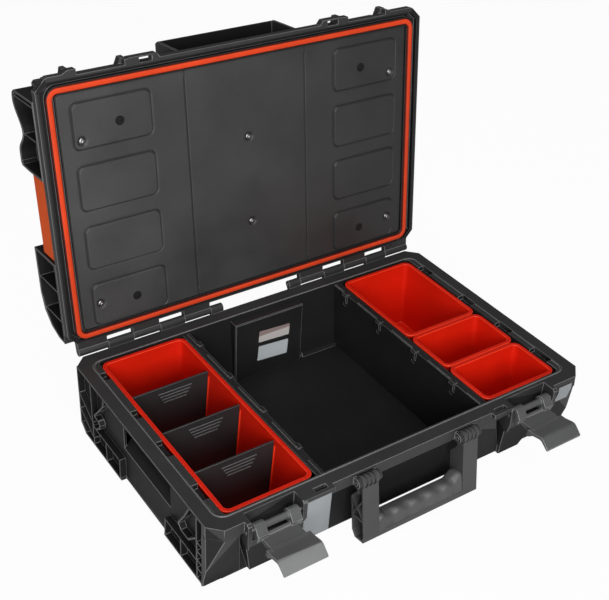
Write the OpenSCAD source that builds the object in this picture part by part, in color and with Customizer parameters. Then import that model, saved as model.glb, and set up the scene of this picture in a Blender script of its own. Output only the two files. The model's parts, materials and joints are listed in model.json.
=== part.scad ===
// Hard tool case with a hinged lid, two latches, a front handle and lift-out trays.
// Millimetres, +Z up, +X to the right, the latches and handle on the -Y side.
// The origin is the centre of the underside. The lid stands open, the latches are
// open and the handle hangs.

/* [Case] */
// Width across the base rim
body_w = 575; // [545:5:620]
// Depth across the base rim
body_d = 370; // [355:5:400]
// Height of the base, from the underside to the top of the sealing lip
base_h = 110; // [106:1:125]
// Height of the lid above its own underside
lid_h = 79; // [77:1:90]
// Thickness of the base and lid walls
wall = 3.5; // [3:0.25:4]
// Thickness of the base floor
floor_t = 4; // [3.5:0.25:5]
// How far each end wall of the base leans in over its height
draft = 11; // [8:0.5:12]
// How far each side wall of the base leans in over its height
side_draft = 4; // [3:0.5:5]
// Width of the rim beside the trays
side_rim = 27.5; // [26:0.5:30]
// Width of the rim at the front and the back
end_rim = 20; // [19:0.5:22]
// Height of the rim band at the front and the back
rim_band = 17; // [16:1:20]
// Thickness of the rim along the sides
side_rim_t = 3; // [2.5:0.25:4]
// Cut across each corner of the rim
corner_cut = 16; // [12:1:18]
// Height of the sealing lip above the rim
lip_h = 1; // [0.6:0.1:1.2]
// Width of the sealing lip
lip_w = 2.5; // [2:0.25:3]
// Gap between the sealing lip and the closed lid
split_gap = 1; // [0.8:0.1:1.4]
// Angle at which the lid stands open
open_angle = 96; // [80:1:96]

/* [Side frames] */
// Thickness of the ribs on the sides of the base
side_rib_t = 2.2; // [1.8:0.1:2.8]
// Half length of the hand recess in each side
recess_half = 54; // [50:1:58]
// Depth of the finger notches in the rim
notch_depth = 7; // [5:0.5:8]
// How far the hand recess lies behind the rim
recess_in = 9; // [7:0.5:11]

/* [Trays] */
// Width of every tray over its lip
tray_w = 124; // [116:1:128]
// Thickness of the tray walls
tray_wall = 2; // [1.6:0.1:2.4]
// Width of the lip round a tray
tray_lip = 3.5; // [3:0.25:4.5]
// Thickness of the lip round a tray
tray_lip_t = 3; // [2.5:0.25:3.5]
// Clearance round the trays
tray_gap = 1.5; // [1.2:0.1:2]
// How far the tray lips lie below the sealing lip
tray_drop = 3; // [2.5:0.25:4]
// Clearance of a lifting tray above the floor
seat_gap = 0.3; // [0.2:0.05:0.4]
// Thickness of a divider
divider_t = 2.5; // [2:0.1:3]
// How far the dividers lie below the tray lip
divider_drop = 4; // [3:0.5:6]
// Width of the ledge along the top of each partition
part_ledge = 11; // [9:0.5:12]
// Thickness of each partition
part_t = 3; // [2.5:0.25:4]

/* [Latches] */
// Distance of the left latch from the middle of the case
latch_left = 206; // [203:1:208]
// Distance of the right latch from the middle of the case
latch_right = 190; // [188:1:192]
// Width of the finger paddle of a latch
paddle_w = 59; // [56:1:61]
// Width of the latch plate between the lid hooks
plate_w = 48; // [44:1:48]
// Thickness of the latch plate
lever_t = 4; // [3.5:0.25:5]
// Length of the finger paddle
paddle_len = 38; // [35:1:42]
// How far the fold of the finger paddle stands in towards the lid
paddle_bend = 7; // [5:0.5:8]
// Radius of the latch pin
latch_pin_r = 2.5; // [2:0.1:2.8]
// Radius of the ears of a latch
ear_r = 7.5; // [6.5:0.25:8]
// Angle through which a latch opens
latch_open = 104; // [90:1:106]

/* [Handle] */
// Width of the handle over its arms
handle_w = 180; // [174:1:188]
// Width of each arm
arm_w = 23.5; // [21:0.5:26]
// Length of the handle below its pins
handle_len = 89; // [82:1:92]
// Thickness of the arms, front to back
arm_d = 25; // [22:0.5:26]
// Height of the finger grip
grip_h = 20; // [18:0.5:23]
// Radius of the handle pins
handle_pin_r = 3; // [2.5:0.1:3.4]
// How far the handle hangs forward
handle_tilt = 9; // [7:0.5:13]

/* [Hinges and seal] */
// Radius of the hinge knuckles
knuckle_r = 5.5; // [5:0.1:5.8]
// Radius of the hinge pins
hinge_pin_r = 2.2; // [1.8:0.1:2.6]
// Radial clearance of every pin in its bore
run_gap = 0.05; // [0.03:0.01:0.08]
// Width of the lid gasket
gasket_w = 8.5; // [7:0.25:9]
// Thickness of the lid gasket
gasket_t = 4.6; // [4:0.1:5]
// Thickness of the lid liner
liner_t = 2.5; // [2:0.25:3]
// How far the pads stand out of the lid liner
pad_h = 1.8; // [1.2:0.1:2]

/* [Hidden] */
$fn = 48;
eps = 0.5;

black = [0.11, 0.11, 0.12];
dark_grey = [0.19, 0.19, 0.19];
red = [0.86, 0.16, 0.07];
light_grey = [0.55, 0.57, 0.58];
steel = [0.7, 0.7, 0.72];

half_w = body_w / 2;
half_d = body_d / 2;
rim_z = base_h - lip_h;
cav_x = half_w - side_rim;
cav_y = half_d - end_rim;
rim_t = 6;
tub_corner_r = 8;

// Half size of the inside of the base at height z
function inside_x(z) = cav_x - side_draft * (base_h - z) / base_h;
function inside_y(z) = cav_y - draft * (base_h - z) / base_h;

// Hinge line
lid_z = base_h + split_gap;
hinge_y = half_d + 5;
hinge_z = lid_z + knuckle_r - 3;
knuckle_gap = 0.5;
// Both hinges: [start, end, true on the lid], measured out from the middle
knuckles = [
    [56, 75.5, false], [76, 117.5, true], [118, 155, false],
    [155.5, 195.5, true], [196, 233, false], [233.5, 276, true],
];
hinge_pin_end = 264;

// Partitions and trays
tray_outer = cav_x - tray_gap;
part_out = tray_outer - tray_w - tray_gap;
part_in = part_out - part_ledge;
rear_box_half = 57;
part_top = base_h - tray_drop - 1;
tray_x = tray_outer - tray_w / 2;
tray_end = cav_y - tray_gap - 2;
tray_top = base_h - tray_drop;
tray_foot = floor_t + seat_gap;
tray_taper_x = side_draft + 2;
tray_taper_y = draft - 1.5;
tray_pitch = tray_end / 2;
tray_between = 1;
guide_h = 2;
guide_t = 1.2;
guide_gap = 0.4;
divider_places = [tray_pitch, 0, -tray_pitch];
clip_pitch = tray_end / 2;
clip_shift = clip_pitch / 3;

// Latches: place of the right one (m = 0) and of the left one (m = 1)
function latch_at(m) = m > 0 ? latch_left : latch_right;
latch_y = half_d + 2;
latch_z = base_h - 16;
latch_notch = 34;
cheek_t = 6;
notch_back = half_d - 12;
hook_notch = plate_w / 2 + 1.5;
catch_front = 4;
catch_rise = 0.8;
ear_in = 16;
ear_reach = 11;
// Leaning front walls
front_lean = 25;
panel_foot = 5;
trim_left = -latch_left + 40;
trim_right = -latch_left + 79;
trim_skew = 17.5;
corner_plate_in = latch_right + latch_notch + cheek_t + 11.5;
corner_plate_out = half_w - corner_cut - 4;
corner_plate_h = 37;
shelf_drop = 23;
lid_flange_t = 11;
flange_top = lid_z + lid_flange_t;
catch_gap = 0.5;

// Handle
handle_y = half_d + 5;
handle_z = base_h - 13;
knuckle_h_r = 8;
ear_t = 5;
handle_ear_r = 6.5;
ear_gap = 0.5;
arm_in = handle_w / 2 - arm_w;
arm_front = 6;
grip_rise = 10;

// Lid, drawn shut
lid_front = half_d - 2;
lid_back = half_d - 8;
lid_top = lid_z + lid_h;
lid_wall_x = half_w - 19.5;
lid_wall_front = half_d - 19;
lid_wall_back = half_d - 17;
lid_lean = 6;
wing_x = half_w + 1.5;
band_rise = 50;
band_cut = 8;
lug_front = lid_front + 1;
claw_front = lid_front + 5;
claw_t = 22;
claw_clear = paddle_w / 2 + 5;
groove_depth = 7;
outer_rim = 6;
gasket_x = half_w - 14;
gasket_y = half_d - 14.5;
gasket_r = 15;
seal_gap = 0.6;
seat_z = lid_z - split_gap + seal_gap + gasket_t + 0.1;
seal_wall = 1.6;
liner_in = seal_wall + 2 * seat_gap;
liner_x = gasket_x - gasket_w - liner_in;
liner_y = gasket_y - gasket_w - liner_in;
liner_r = gasket_r - gasket_w - liner_in;
liner_z = lid_z + pad_h + 0.4;
screw_places = [[-236, -98], [-236, 127], [0, -52], [0, 72], [236, -98], [236, 127]];
screw_r = 1.8;
screw_head_r = 4;
pad_w = 104;
pad_len = 57;
pad_x = 191;
pad_pitch = 81.5;
pad_shift = 6;
seam_x = 91;
// Middle of the padlock slot on each side
function eye_at(m) = m > 0 ? latch_left - 63.5 : latch_right - 53;
slot_half = 8.5;
slot_front = half_d + 2;
slot_back = half_d - 4.5;
// Finger notches of each side: middle and length along the rim
left_notches = [[131, 16], [42, 16], [-32, 30], [-118, 27]];
right_notches = [[123, 24], [29, 26], [-51, 26], [-125, 32]];

// ---- helpers --------------------------------------------------------------

// A profile drawn in Y and Z, extruded from x0 to x1
module along_x(x0, x1) {
    translate([x0, 0, 0]) rotate([90, 0, 90]) linear_extrude(x1 - x0) children();
}

// A profile drawn in X and Z, extruded from y0 to y1
module along_y(y0, y1) {
    translate([0, y1, 0]) rotate([90, 0, 0]) linear_extrude(y1 - y0) children();
}

// A plain box given by its two corners
module block(a, b) {
    translate(a) cube(b - a);
}

// A straight rib from point a to point b
module bar(a, b, t) {
    translate(a)
        rotate(atan2(b[1] - a[1], b[0] - a[0]))
        translate([0, -t / 2])
        square([norm(b - a), t]);
}

// A rectangle with its corners cut off
module cut_rect(x, y0, y1, c) {
    polygon([
        [-x + c, y0], [x - c, y0], [x, y0 + c], [x, y1 - c],
        [x - c, y1], [-x + c, y1], [-x, y1 - c], [-x, y0 + c],
    ]);
}

// A rectangle with rounded corners, centred
module round_rect(x, y, r) {
    square([2 * x, 2 * (y - r)], center = true);
    square([2 * (x - r), 2 * y], center = true);
    for (sx = [-1, 1], sy = [-1, 1])
        translate([sx * (x - r), sy * (y - r)]) circle(r);
}

module both_sides() {
    children();
    mirror([1, 0, 0]) children();
}

module pin_along_x(r, x0, x1) {
    translate([x0, 0, 0]) rotate([0, 90, 0]) cylinder(r = r, h = x1 - x0);
}

// ---- base -----------------------------------------------------------------

// The leaning walls of the base, grown by g
module tub(z0, z1, g) {
    intersection() {
        along_x(-half_w, half_w) polygon([
            [-inside_y(z0) - g, z0], [inside_y(z0) + g, z0],
            [inside_y(z1) + g, z1], [-inside_y(z1) - g, z1],
        ]);
        along_y(-half_d, half_d) polygon([
            [-inside_x(z0) - g, z0], [inside_x(z0) + g, z0],
            [inside_x(z1) + g, z1], [-inside_x(z1) - g, z1],
        ]);
        translate([0, 0, z0]) linear_extrude(z1 - z0)
            round_rect(cav_x + g, cav_y + g, tub_corner_r + g);
    }
}

// Outline of the rim, with a notch in front of each latch
module rim_plan() {
    difference() {
        cut_rect(half_w, -half_d, half_d, corner_cut);
        for (m = [0, 1])
            mirror([m, 0])
                translate([latch_at(m) - latch_notch, -half_d - 1])
                square([2 * latch_notch, half_d - notch_back + 1]);
    }
}

// A bent rib of thickness t through the points given
module bent(points, t) {
    for (i = [0:len(points) - 2])
        translate(points[i])
            rotate(atan2(points[i + 1][1] - points[i][1], points[i + 1][0] - points[i][0]))
            translate([-t * 0.45, -t / 2])
            square([norm(points[i + 1] - points[i]) + t * 0.9, t]);
}

// A point on the side of the base: drawn for the usual size, moved with the real one
function on_side(y, z) = [y * half_d / 185, z * (rim_z - side_rim_t) / 106];

// Ribbed frame of one side behind the hand recess, drawn in Y and Z
module rear_side_frame() {
    t = side_rib_t;
    bent([on_side(170, 107), on_side(170, 15), on_side(157, 4), on_side(51, 4)], t + 0.6);
    bent([on_side(131, 107), on_side(131, 5)], t);
    bent([on_side(170, 66), on_side(131, 42)], t);
    bent([on_side(170, 40), on_side(131, 15)], t);
    bent([on_side(92, 107), on_side(94, 94), on_side(108, 77), on_side(125, 57)], t);
    bent([on_side(125, 57), on_side(113, 56), on_side(108.5, 51), on_side(112, 44), on_side(122, 36)], t);
    bent([on_side(131, 36), on_side(52, 36), on_side(53, 5)], t);
    bent([on_side(92, 36), on_side(92, 5)], t);
}

// Ribbed frame of one side in front of the hand recess
module front_side_frame() {
    t = side_rib_t;
    bent([on_side(-161, 107), on_side(-161, 9.5), on_side(-69, 9.5)], t + 0.6);
    bent([on_side(-148, 107), on_side(-148, 10)], t);
    for (z = [68, 54, 39, 26])
        bent([on_side(-148, z), on_side(-161, z)], t);
    bent([on_side(-128, 107), on_side(-130, 103), on_side(-118, 81), on_side(-104, 61)], t);
    bent([on_side(-104, 61), on_side(-111, 54), on_side(-128, 54), on_side(-144, 70)], t);
    bent([on_side(-148, 38), on_side(-71, 38), on_side(-69, 10)], t);
    bent([on_side(-109, 38), on_side(-109, 10)], t);
}

// Everything on one side of the base that stands out under the rim
module side_moulding() {
    inner = cav_x - side_draft;
    outer = half_w - 0.5;
    hand = half_w - recess_in;
    y0 = on_side(-71, 0)[0];
    y1 = on_side(53, 0)[0];
    top = rim_z - side_rim_t + eps;
    along_x(hand - wall + 0.4, outer) {
        rear_side_frame();
        front_side_frame();
    }
    // wall behind the ribs, and the webs that hold it
    block([hand - wall, on_side(-161, 0)[0], 9], [hand, y0 + eps, top]);
    block([hand - wall, y1 - eps, 5], [hand, on_side(157, 0)[0], top]);
    block([hand - wall, on_side(156, 0)[0], 15], [hand, on_side(170, 0)[0], top]);
    for (y = [-148, -109, 92, 131])
        block([inner, on_side(y, 0)[0] - 1.1, 12], [hand - wall + eps, on_side(y, 0)[0] + 1.1, top]);
    block([inner, on_side(168.5, 0)[0], 16], [hand - wall + eps, on_side(171, 0)[0], top]);
    block([inner - 10, -(half_d - 22), 8], [outer, -(half_d - 24.5), top]);
    // wall behind the hand recess, scooped out under the rim
    difference() {
        along_y(y0, y1) polygon([
            [inner, 0], [hand, 0], [hand, 52], [hand - 8, 62], [inner + 3, 68], [inner, 68],
        ]);
        along_y(y0 + wall, y1 - wall) polygon([
            [inner + wall + 1, -1], [hand - wall, -1], [hand - wall, 50],
            [hand - wall - 8, 58], [inner + wall + 3, 60],
        ]);
    }
}

// Floor under the finger notches of one side, from the list given
module notch_floors(notches) {
    for (n = notches)
        block([cav_x, n[0] - n[1] / 2 - 2, rim_z - notch_depth - 2.2],
            [cav_x + 11, n[0] + n[1] / 2 + 2, rim_z - 1]);
}

module notch_cuts(notches) {
    for (n = notches)
        block([cav_x - 1, n[0] - n[1] / 2, rim_z - notch_depth],
            [cav_x + 9, n[0] + n[1] / 2, base_h + eps]);
}

// Housing of one latch: two cheeks that carry the pin
module latch_housing() {
    inner = cav_y - draft;
    shelf_z = latch_z - shelf_drop;
    edge = latch_notch + cheek_t;
    intersection() {
        union() {
            for (s = [-1, 1])
                translate([s * (latch_notch + cheek_t / 2), 0, 0])
                    along_x(-cheek_t / 2, cheek_t / 2) polygon([
                        [-inner, 0], [-(half_d - 22), 0], [-(latch_y + 6), latch_z - 12],
                        [-(latch_y + 6), rim_z - 3], [-(latch_y + 3), rim_z], [-(cav_y + 1), rim_z],
                    ]);
            // foot and shelf under the lever, and the wall behind it
            along_x(-latch_notch - eps, latch_notch + eps) polygon([
                [-inner, 0], [-(half_d - 22), 0], [-(half_d - 4), shelf_z - 9],
                [-(half_d - 2), shelf_z - 5], [-(half_d - 2), shelf_z], [-(half_d - 16), shelf_z],
                [-notch_back, rim_z - rim_band], [-cav_y, rim_z - rim_band],
            ]);
        }
        // the housing narrows towards its foot
        along_y(-half_d - 20, 0) polygon([
            [-edge / 2 + 2, -1], [edge / 2 - 2, -1], [edge, latch_z - 12], [edge, base_h],
            [-edge, base_h], [-edge, latch_z - 12],
        ]);
    }
}

// Side view of the leaning front wall, moved in by g
module front_profile(g) {
    polygon([
        [-(half_d - front_lean) + g, panel_foot], [-half_d + g, rim_z - rim_band],
        [-half_d + g, rim_z - rim_t], [-cav_y, rim_z - rim_t], [-cav_y, rim_z - rim_band],
        [-(half_d - front_lean) + 2, panel_foot],
    ]);
}

// Leaning wall under the front rim, between the points of a front view
module front_panel(x0, x1, points, closed) {
    difference() {
        intersection() {
            along_x(x0, x1) front_profile(0);
            along_y(-half_d - 1, 0) polygon(points);
            translate([0, 0, -1]) linear_extrude(base_h)
                cut_rect(half_w - 0.5, -half_d, half_d, corner_cut);
        }
        // open behind, and towards the latch
        intersection() {
            along_x(closed < 0 ? x0 + wall : x0 - 1, closed > 0 ? x1 - wall : x1 + 1)
                polygon([
                    [-(half_d - front_lean) - 3, panel_foot + 17], [-half_d + wall, rim_z - rim_band],
                    [-half_d + wall, rim_z - rim_t - 1], [-cav_y - wall - 1, rim_z - rim_t - 1],
                    [-cav_y - wall - 1, rim_z - rim_band],
                    [-(half_d - front_lean) - 1.4, panel_foot + 17],
                ]);
            translate([0, 0, -2]) linear_extrude(base_h)
                cut_rect(half_w - 0.5 - wall, -half_d, half_d, corner_cut + 1);
        }
    }
}

// The leaning walls at the corners, beside the handle and behind the trim plate
module front_panels() {
    for (m = [0, 1])
        mirror([m, 0, 0]) front_panel(latch_at(m) + 26, half_w - 0.5, [
            [latch_at(m) + 29, 0], [half_w, 0], [half_w, base_h],
            [latch_at(m) + 47, base_h], [latch_at(m) + 47, rim_z - 9],
        ], 1);
    front_panel(handle_w / 2 + 7, latch_right - 16, [
        [0, 0], [latch_right - 18, 0], [latch_right - 18, 8],
        [latch_right - 48, rim_z - rim_band - 22], [latch_right - 58, rim_z - rim_band],
        [latch_right - 58, base_h], [0, base_h],
    ], -1);
    front_panel(-latch_left + 38, -handle_w / 2 - 15, [
        [trim_left + 17, 0], [trim_right + 19, 0], [trim_right, rim_z - rim_band],
        [trim_right, base_h], [trim_left, base_h], [trim_left, rim_z - rim_band],
    ], 0);
}

// One ear of the handle pivot on the front of the rim
module handle_ear() {
    along_x(0, ear_t) {
        translate([-handle_y, handle_z]) circle(handle_ear_r);
        translate([-handle_y, handle_z - handle_ear_r])
            square([handle_y - half_d + 3, 2 * handle_ear_r]);
    }
}

// Tab for a padlock on the front of the base rim, as far as the cheek of the latch
module base_eye(m) {
    block([eye_at(m) - 16, -(half_d + 7), rim_z - rim_t],
        [latch_at(m) - latch_notch - 0.5, -(half_d - 4), rim_z]);
}

module base_knuckles() {
    for (k = knuckles)
        if (!k[2])
            along_x(k[0], k[1]) {
                translate([hinge_y, hinge_z]) circle(knuckle_r);
                polygon([
                    [half_d - 3, rim_z - rim_band + 3], [half_d, rim_z - rim_band + 3],
                    [hinge_y + knuckle_r, hinge_z], [hinge_y - knuckle_r, hinge_z],
                    [hinge_y - knuckle_r, rim_z], [half_d - 3, rim_z],
                ]);
            }
}

// Pockets under the rim at the front and the back
module rim_pockets() {
    pitch = 40;
    for (i = [-6:6], s = [-1, 1])
        if (s > 0 || abs(i) < 2)
            translate([i * pitch, s * (half_d - wall - 5.5), rim_z - rim_band - 1])
                linear_extrude(rim_band + 1 - rim_t)
                square([pitch - 3, 11], center = true);
}

module base_shell() {
    color(black) difference() {
        union() {
            tub(0, rim_z, wall);
            // rim band, thin along the sides, and the lip that meets the lid gasket
            difference() {
                translate([0, 0, rim_z - rim_band]) linear_extrude(rim_band) rim_plan();
                rim_pockets();
                both_sides()
                    block([cav_x + wall, on_side(-161, 0)[0], 0],
                        [half_w + 1, on_side(170, 0)[0], rim_z - side_rim_t]);
            }
            translate([0, 0, rim_z - eps]) linear_extrude(lip_h + eps) difference() {
                round_rect(gasket_x - gasket_w / 2 + lip_w / 2,
                    gasket_y - gasket_w / 2 + lip_w / 2, gasket_r);
                round_rect(gasket_x - gasket_w / 2 - lip_w / 2,
                    gasket_y - gasket_w / 2 - lip_w / 2, gasket_r - lip_w);
            }
            both_sides() {
                side_moulding();
                translate([arm_in - ear_gap - ear_t, 0, 0]) handle_ear();
                translate([handle_w / 2 + ear_gap, 0, 0]) handle_ear();
                base_knuckles();
            }
            for (m = [0, 1])
                mirror([m, 0, 0]) {
                    translate([latch_at(m), 0, 0]) latch_housing();
                    base_eye(m);
                }
            front_panels();
            notch_floors(right_notches);
            mirror([1, 0, 0]) notch_floors(left_notches);
        }
        tub(floor_t, base_h + eps, 0);
        // finger notches in the rim beside the trays
        notch_cuts(right_notches);
        mirror([1, 0, 0]) notch_cuts(left_notches);
        for (m = [0, 1])
            mirror([m, 0, 0]) {
                // padlock slot, and the bore for the pin of the latch
                block([eye_at(m) - slot_half, -slot_front, rim_z - 12],
                    [eye_at(m) + slot_half, -slot_back, base_h]);
                translate([latch_at(m), -latch_y, latch_z]) pin_along_x(latch_pin_r + run_gap,
                    -latch_notch - cheek_t - 0.5, latch_notch + cheek_t + 0.5);
            }
        both_sides() {
            // room for the knuckles of the handle
            block([arm_in - 0.7, -half_d - 1, rim_z - rim_band - 1],
                [handle_w / 2 + 0.7, -handle_y + knuckle_h_r + 0.8, handle_z + knuckle_h_r + 0.4]);
            // bores for the pins
            translate([0, hinge_y, hinge_z]) pin_along_x(hinge_pin_r + run_gap, 50, 240);
            translate([0, -handle_y, handle_z])
                pin_along_x(handle_pin_r + run_gap, arm_in - ear_t - 3, handle_w / 2 + ear_t + 3);
        }
        // stacking grooves in the underside
        for (s = [-1, 1]) {
            block([-half_w + 70, s * 105 - 6, -1], [half_w - 70, s * 105 + 6, 1.5]);
            block([s * 200 - 6, -90, -1], [s * 200 + 6, 90, 1.5]);
        }
    }
    // sloping foot of the rear wall, on both sides of the rear box
    color(black) both_sides() along_x(62, part_in - seat_gap) polygon([
        [inside_y(floor_t) - 5, floor_t - eps], [inside_y(floor_t) + 2, floor_t - eps],
        [inside_y(floor_t) + 2, floor_t + 8], [inside_y(floor_t + 7), floor_t + 7],
    ]);
}

// ---- inside of the base ---------------------------------------------------

// Partition between the trays and the middle of the case, drawn on the right
module partition_wall() {
    gap = seat_gap;
    end = inside_y(part_top) - gap - 1;
    difference() {
        union() {
            along_x(part_in, part_in + part_t) polygon([
                [-inside_y(floor_t) + gap, floor_t], [inside_y(floor_t) - gap - 6, floor_t],
                [inside_y(floor_t) - gap - 6, floor_t + 8], [inside_y(floor_t + 8) - gap, floor_t + 8],
                [inside_y(part_top) - gap, part_top], [-inside_y(part_top) + gap, part_top],
            ]);
            // ledge along the top, and ribs below it on the tray side
            along_x(part_in, part_out) polygon([
                [-inside_y(part_top - 4) + gap, part_top - 4],
                [inside_y(part_top - 4) - gap, part_top - 4],
                [inside_y(part_top) - gap, part_top], [-inside_y(part_top) + gap, part_top],
            ]);
            for (i = [-1.5:1:1.5])
                along_y(i * clip_pitch - 1.2, i * clip_pitch + 1.2) polygon([
                    [part_in + 1, floor_t + 14], [part_in + part_t, floor_t + 14],
                    [part_out - 2, part_top - 3.5], [part_in + 1, part_top - 3.5],
                ]);
            for (i = [-2:2])
                // raised strip of the ledge
                block([part_in + 1.5, max(-end, (i - 1 / 3) * clip_pitch), part_top - eps],
                    [part_in + 4.5, min(end, (i + 1 / 3) * clip_pitch), part_top + 1.5]);
            // clips that hang on the middle side
            for (i = [-1.5:1:1.5])
                along_y(i * clip_pitch + clip_shift / 2 - 5, i * clip_pitch + clip_shift / 2 + 5)
                    polygon([
                        [part_in + 1, part_top - 15], [part_in - 2.5, part_top - 13],
                        [part_in - 3.5, part_top - 9], [part_in - 3.5, part_top - 1],
                        [part_in - 1.5, part_top + 1.5], [part_in + 4, part_top + 1.5],
                        [part_in + 4, part_top - 1],
                    ]);
        }
        // slots behind the clips
        for (i = [-1.5:1:1.5])
            block([part_in - 1.4, i * clip_pitch + clip_shift / 2 - 3, part_top - 20],
                [part_in + 0.2, i * clip_pitch + clip_shift / 2 + 3, part_top - 3]);
    }
}

module right_partition() {
    color(black) partition_wall();
}

module left_partition() {
    color(black) mirror([1, 0, 0]) partition_wall();
}

// Closed box on the rear wall of the middle compartment
module rear_box() {
    front = inside_y(floor_t) - 5.4;
    top = base_h - 7;
    color(black) difference() {
        along_x(-rear_box_half, rear_box_half) polygon([
            [front, floor_t], [inside_y(floor_t) - seat_gap, floor_t],
            [inside_y(top) - seat_gap, top], [front + 1.5, top], [front, top - 1.5],
        ]);
        // relieved ends
        for (s = [-1, 1])
            translate([s * rear_box_half, front, 0]) rotate(45) cube([2, 2, 3 * base_h], center = true);
    }
}

// ---- trays and dividers ---------------------------------------------------

// A slice of a tray between y0 and y1, at height z, with inset i
module tray_slice(y0, y1, z, i, r) {
    translate([0, (y0 + y1) / 2, z]) linear_extrude(0.01)
        round_rect(tray_w / 2 - i, (y1 - y0) / 2 - i, r);
}

// The leaning body of a tray
module tray_body(y0, y1, z0, z1, i, r) {
    lean = (tray_top - z0) / (tray_top - tray_foot);
    hull() {
        translate([0, (y0 + y1) / 2, z0]) linear_extrude(0.01)
            round_rect(tray_w / 2 - i - tray_taper_x * lean,
                (y1 - y0) / 2 - i - tray_taper_y * lean, r - 2, $fn = 32);
        translate([0, (y0 + y1) / 2, z1]) linear_extrude(0.01)
            round_rect(tray_w / 2 - i, (y1 - y0) / 2 - i, r, $fn = 32);
    }
}

// An open tray from y0 to y1, with guides for dividers at the places given
module tray(y0, y1, places) {
    inner = tray_w / 2 - tray_lip - tray_wall;
    lean = tray_taper_x;
    difference() {
        union() {
            tray_body(y0, y1, tray_foot, tray_top - 0.01, tray_lip, 9);
            translate([0, (y0 + y1) / 2, tray_top - tray_lip_t]) linear_extrude(tray_lip_t)
                round_rect(tray_w / 2, (y1 - y0) / 2, 12);
        }
        tray_body(y0, y1, tray_foot + tray_wall, tray_top + 0.5, tray_lip + tray_wall, 7);
    }
    for (p = places, s = [-1, 1], m = [0, 1])
        mirror([m, 0, 0])
            along_y(p + s * (divider_t / 2 + guide_gap + guide_t / 2) - guide_t / 2,
                p + s * (divider_t / 2 + guide_gap + guide_t / 2) + guide_t / 2) polygon([
                [inner + 0.8, tray_top - 10], [inner - guide_h, tray_top - 12],
                [inner - lean - guide_h, tray_foot + tray_wall - 0.5],
                [inner - lean + 0.8, tray_foot + tray_wall - 0.5],
            ]);
}

module long_tray() {
    color(red) translate([-tray_x, 0, 0]) tray(-tray_end, tray_end, divider_places);
}

module double_tray() {
    color(red) translate([tray_x, 0, 0]) tray(tray_between / 2, tray_end, []);
}

module rear_small_tray() {
    color(red) translate([tray_x, 0, 0])
        tray(-tray_pitch + tray_between / 2, -tray_between / 2, []);
}

module front_small_tray() {
    color(red) translate([tray_x, 0, 0])
        tray(-tray_end, -tray_pitch - tray_between / 2, []);
}

// A plate that slides down into the long tray, with ribs to grip it by
module divider(y) {
    top = tray_top - divider_drop;
    foot = tray_foot + tray_wall + seat_gap;
    side = tray_w / 2 - tray_lip - tray_wall - guide_gap;
    cut = 8;
    color(black) translate([-tray_x, y, 0]) {
        along_y(-divider_t / 2, divider_t / 2) polygon([
            [-side + tray_taper_x + cut, foot], [side - tray_taper_x - cut, foot],
            [side - tray_taper_x, foot + cut], [side - 1, top], [-side + 1, top],
            [-side + tray_taper_x, foot + cut],
        ]);
        for (i = [0:3])
            block([-24 + 2.5 * i + 6, -divider_t / 2 - 1, top - 11 - 5 * i],
                [24 - 2.5 * i + 6, -divider_t / 2 + eps, top - 9.4 - 5 * i]);
    }
}

module rear_divider() {
    divider(divider_places[0]);
}

module middle_divider() {
    divider(divider_places[1]);
}

module front_divider() {
    divider(divider_places[2]);
}

// ---- latches --------------------------------------------------------------

// Lever of one latch about its pin, drawn shut: Z up, -Y out
module latch_lever() {
    catch_z = flange_top + catch_gap - latch_z;
    half = paddle_w / 2;
    tip = catch_z + paddle_len;
    fold_in = paddle_bend - 6;
    middle = (catch_z + 8.5 + tip) / 2;
    rotate([latch_open, 0, 0]) difference() {
        union() {
            // ears on the pin
            for (s = [-1, 1])
                translate([s * (half + 0.5 + ear_in) / 2, 0, 0])
                    along_x(-(half + 0.5 - ear_in) / 2, (half + 0.5 - ear_in) / 2) {
                        circle(ear_r);
                        polygon([
                            [-ear_reach, -3.5], [-ear_reach + 3, -7], [0, -ear_r],
                            [5, 5.4], [-1, 12.5], [-ear_reach + 1, 12.5], [-ear_reach, 9],
                        ]);
                    }
            // sleeve and cross bar between the ears
            pin_along_x(latch_pin_r + 1.7, -ear_in - 1, ear_in + 1);
            translate([0, -ear_reach + 3.4, 8]) pin_along_x(2.6, -ear_in - 1, ear_in + 1);
            // plate that joins the ears and rises between the lid hooks
            along_x(-plate_w / 2, plate_w / 2) polygon([
                [-ear_reach, 6], [-ear_reach + lever_t, 6], [-ear_reach + lever_t + 0.8, 12.4],
                [fold_in, catch_z + 8.5], [fold_in - 2, catch_z + 10],
                [-ear_reach + 3, catch_z + 8], [-ear_reach + 0.4, catch_z],
            ]);
            // finger paddle: a catch over the hooks, a fold and a bent end
            along_x(-half, half) polygon([
                [-ear_reach, catch_z + 0.3], [-1, catch_z + 0.6], [-0.7, catch_z + 3],
                [fold_in, catch_z + 8.5], [paddle_bend, middle - 3.5],
                [paddle_bend + 0.8, middle], [paddle_bend + 0.2, middle + 3], [fold_in, tip],
                [fold_in - 2.6, tip + 0.6], [fold_in - 3.4, tip - 1], [paddle_bend - 4, middle + 1],
                [paddle_bend - 4.6, middle - 2.5], [fold_in - 4, catch_z + 10.5],
                [-ear_reach + 0.2, catch_z + 5],
            ]);
        }
        pin_along_x(latch_pin_r + run_gap, -paddle_w, paddle_w);
    }
}

module left_latch_lever() {
    color(dark_grey) translate([-latch_left, -latch_y, latch_z]) latch_lever();
}

module right_latch_lever() {
    color(dark_grey) translate([latch_right, -latch_y, latch_z]) latch_lever();
}

module latch_pin() {
    pin_along_x(latch_pin_r, -latch_notch - cheek_t, latch_notch + cheek_t);
}

module left_latch_pin() {
    color(steel) translate([-latch_left, -latch_y, latch_z]) latch_pin();
}

module right_latch_pin() {
    color(steel) translate([latch_right, -latch_y, latch_z]) latch_pin();
}

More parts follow.
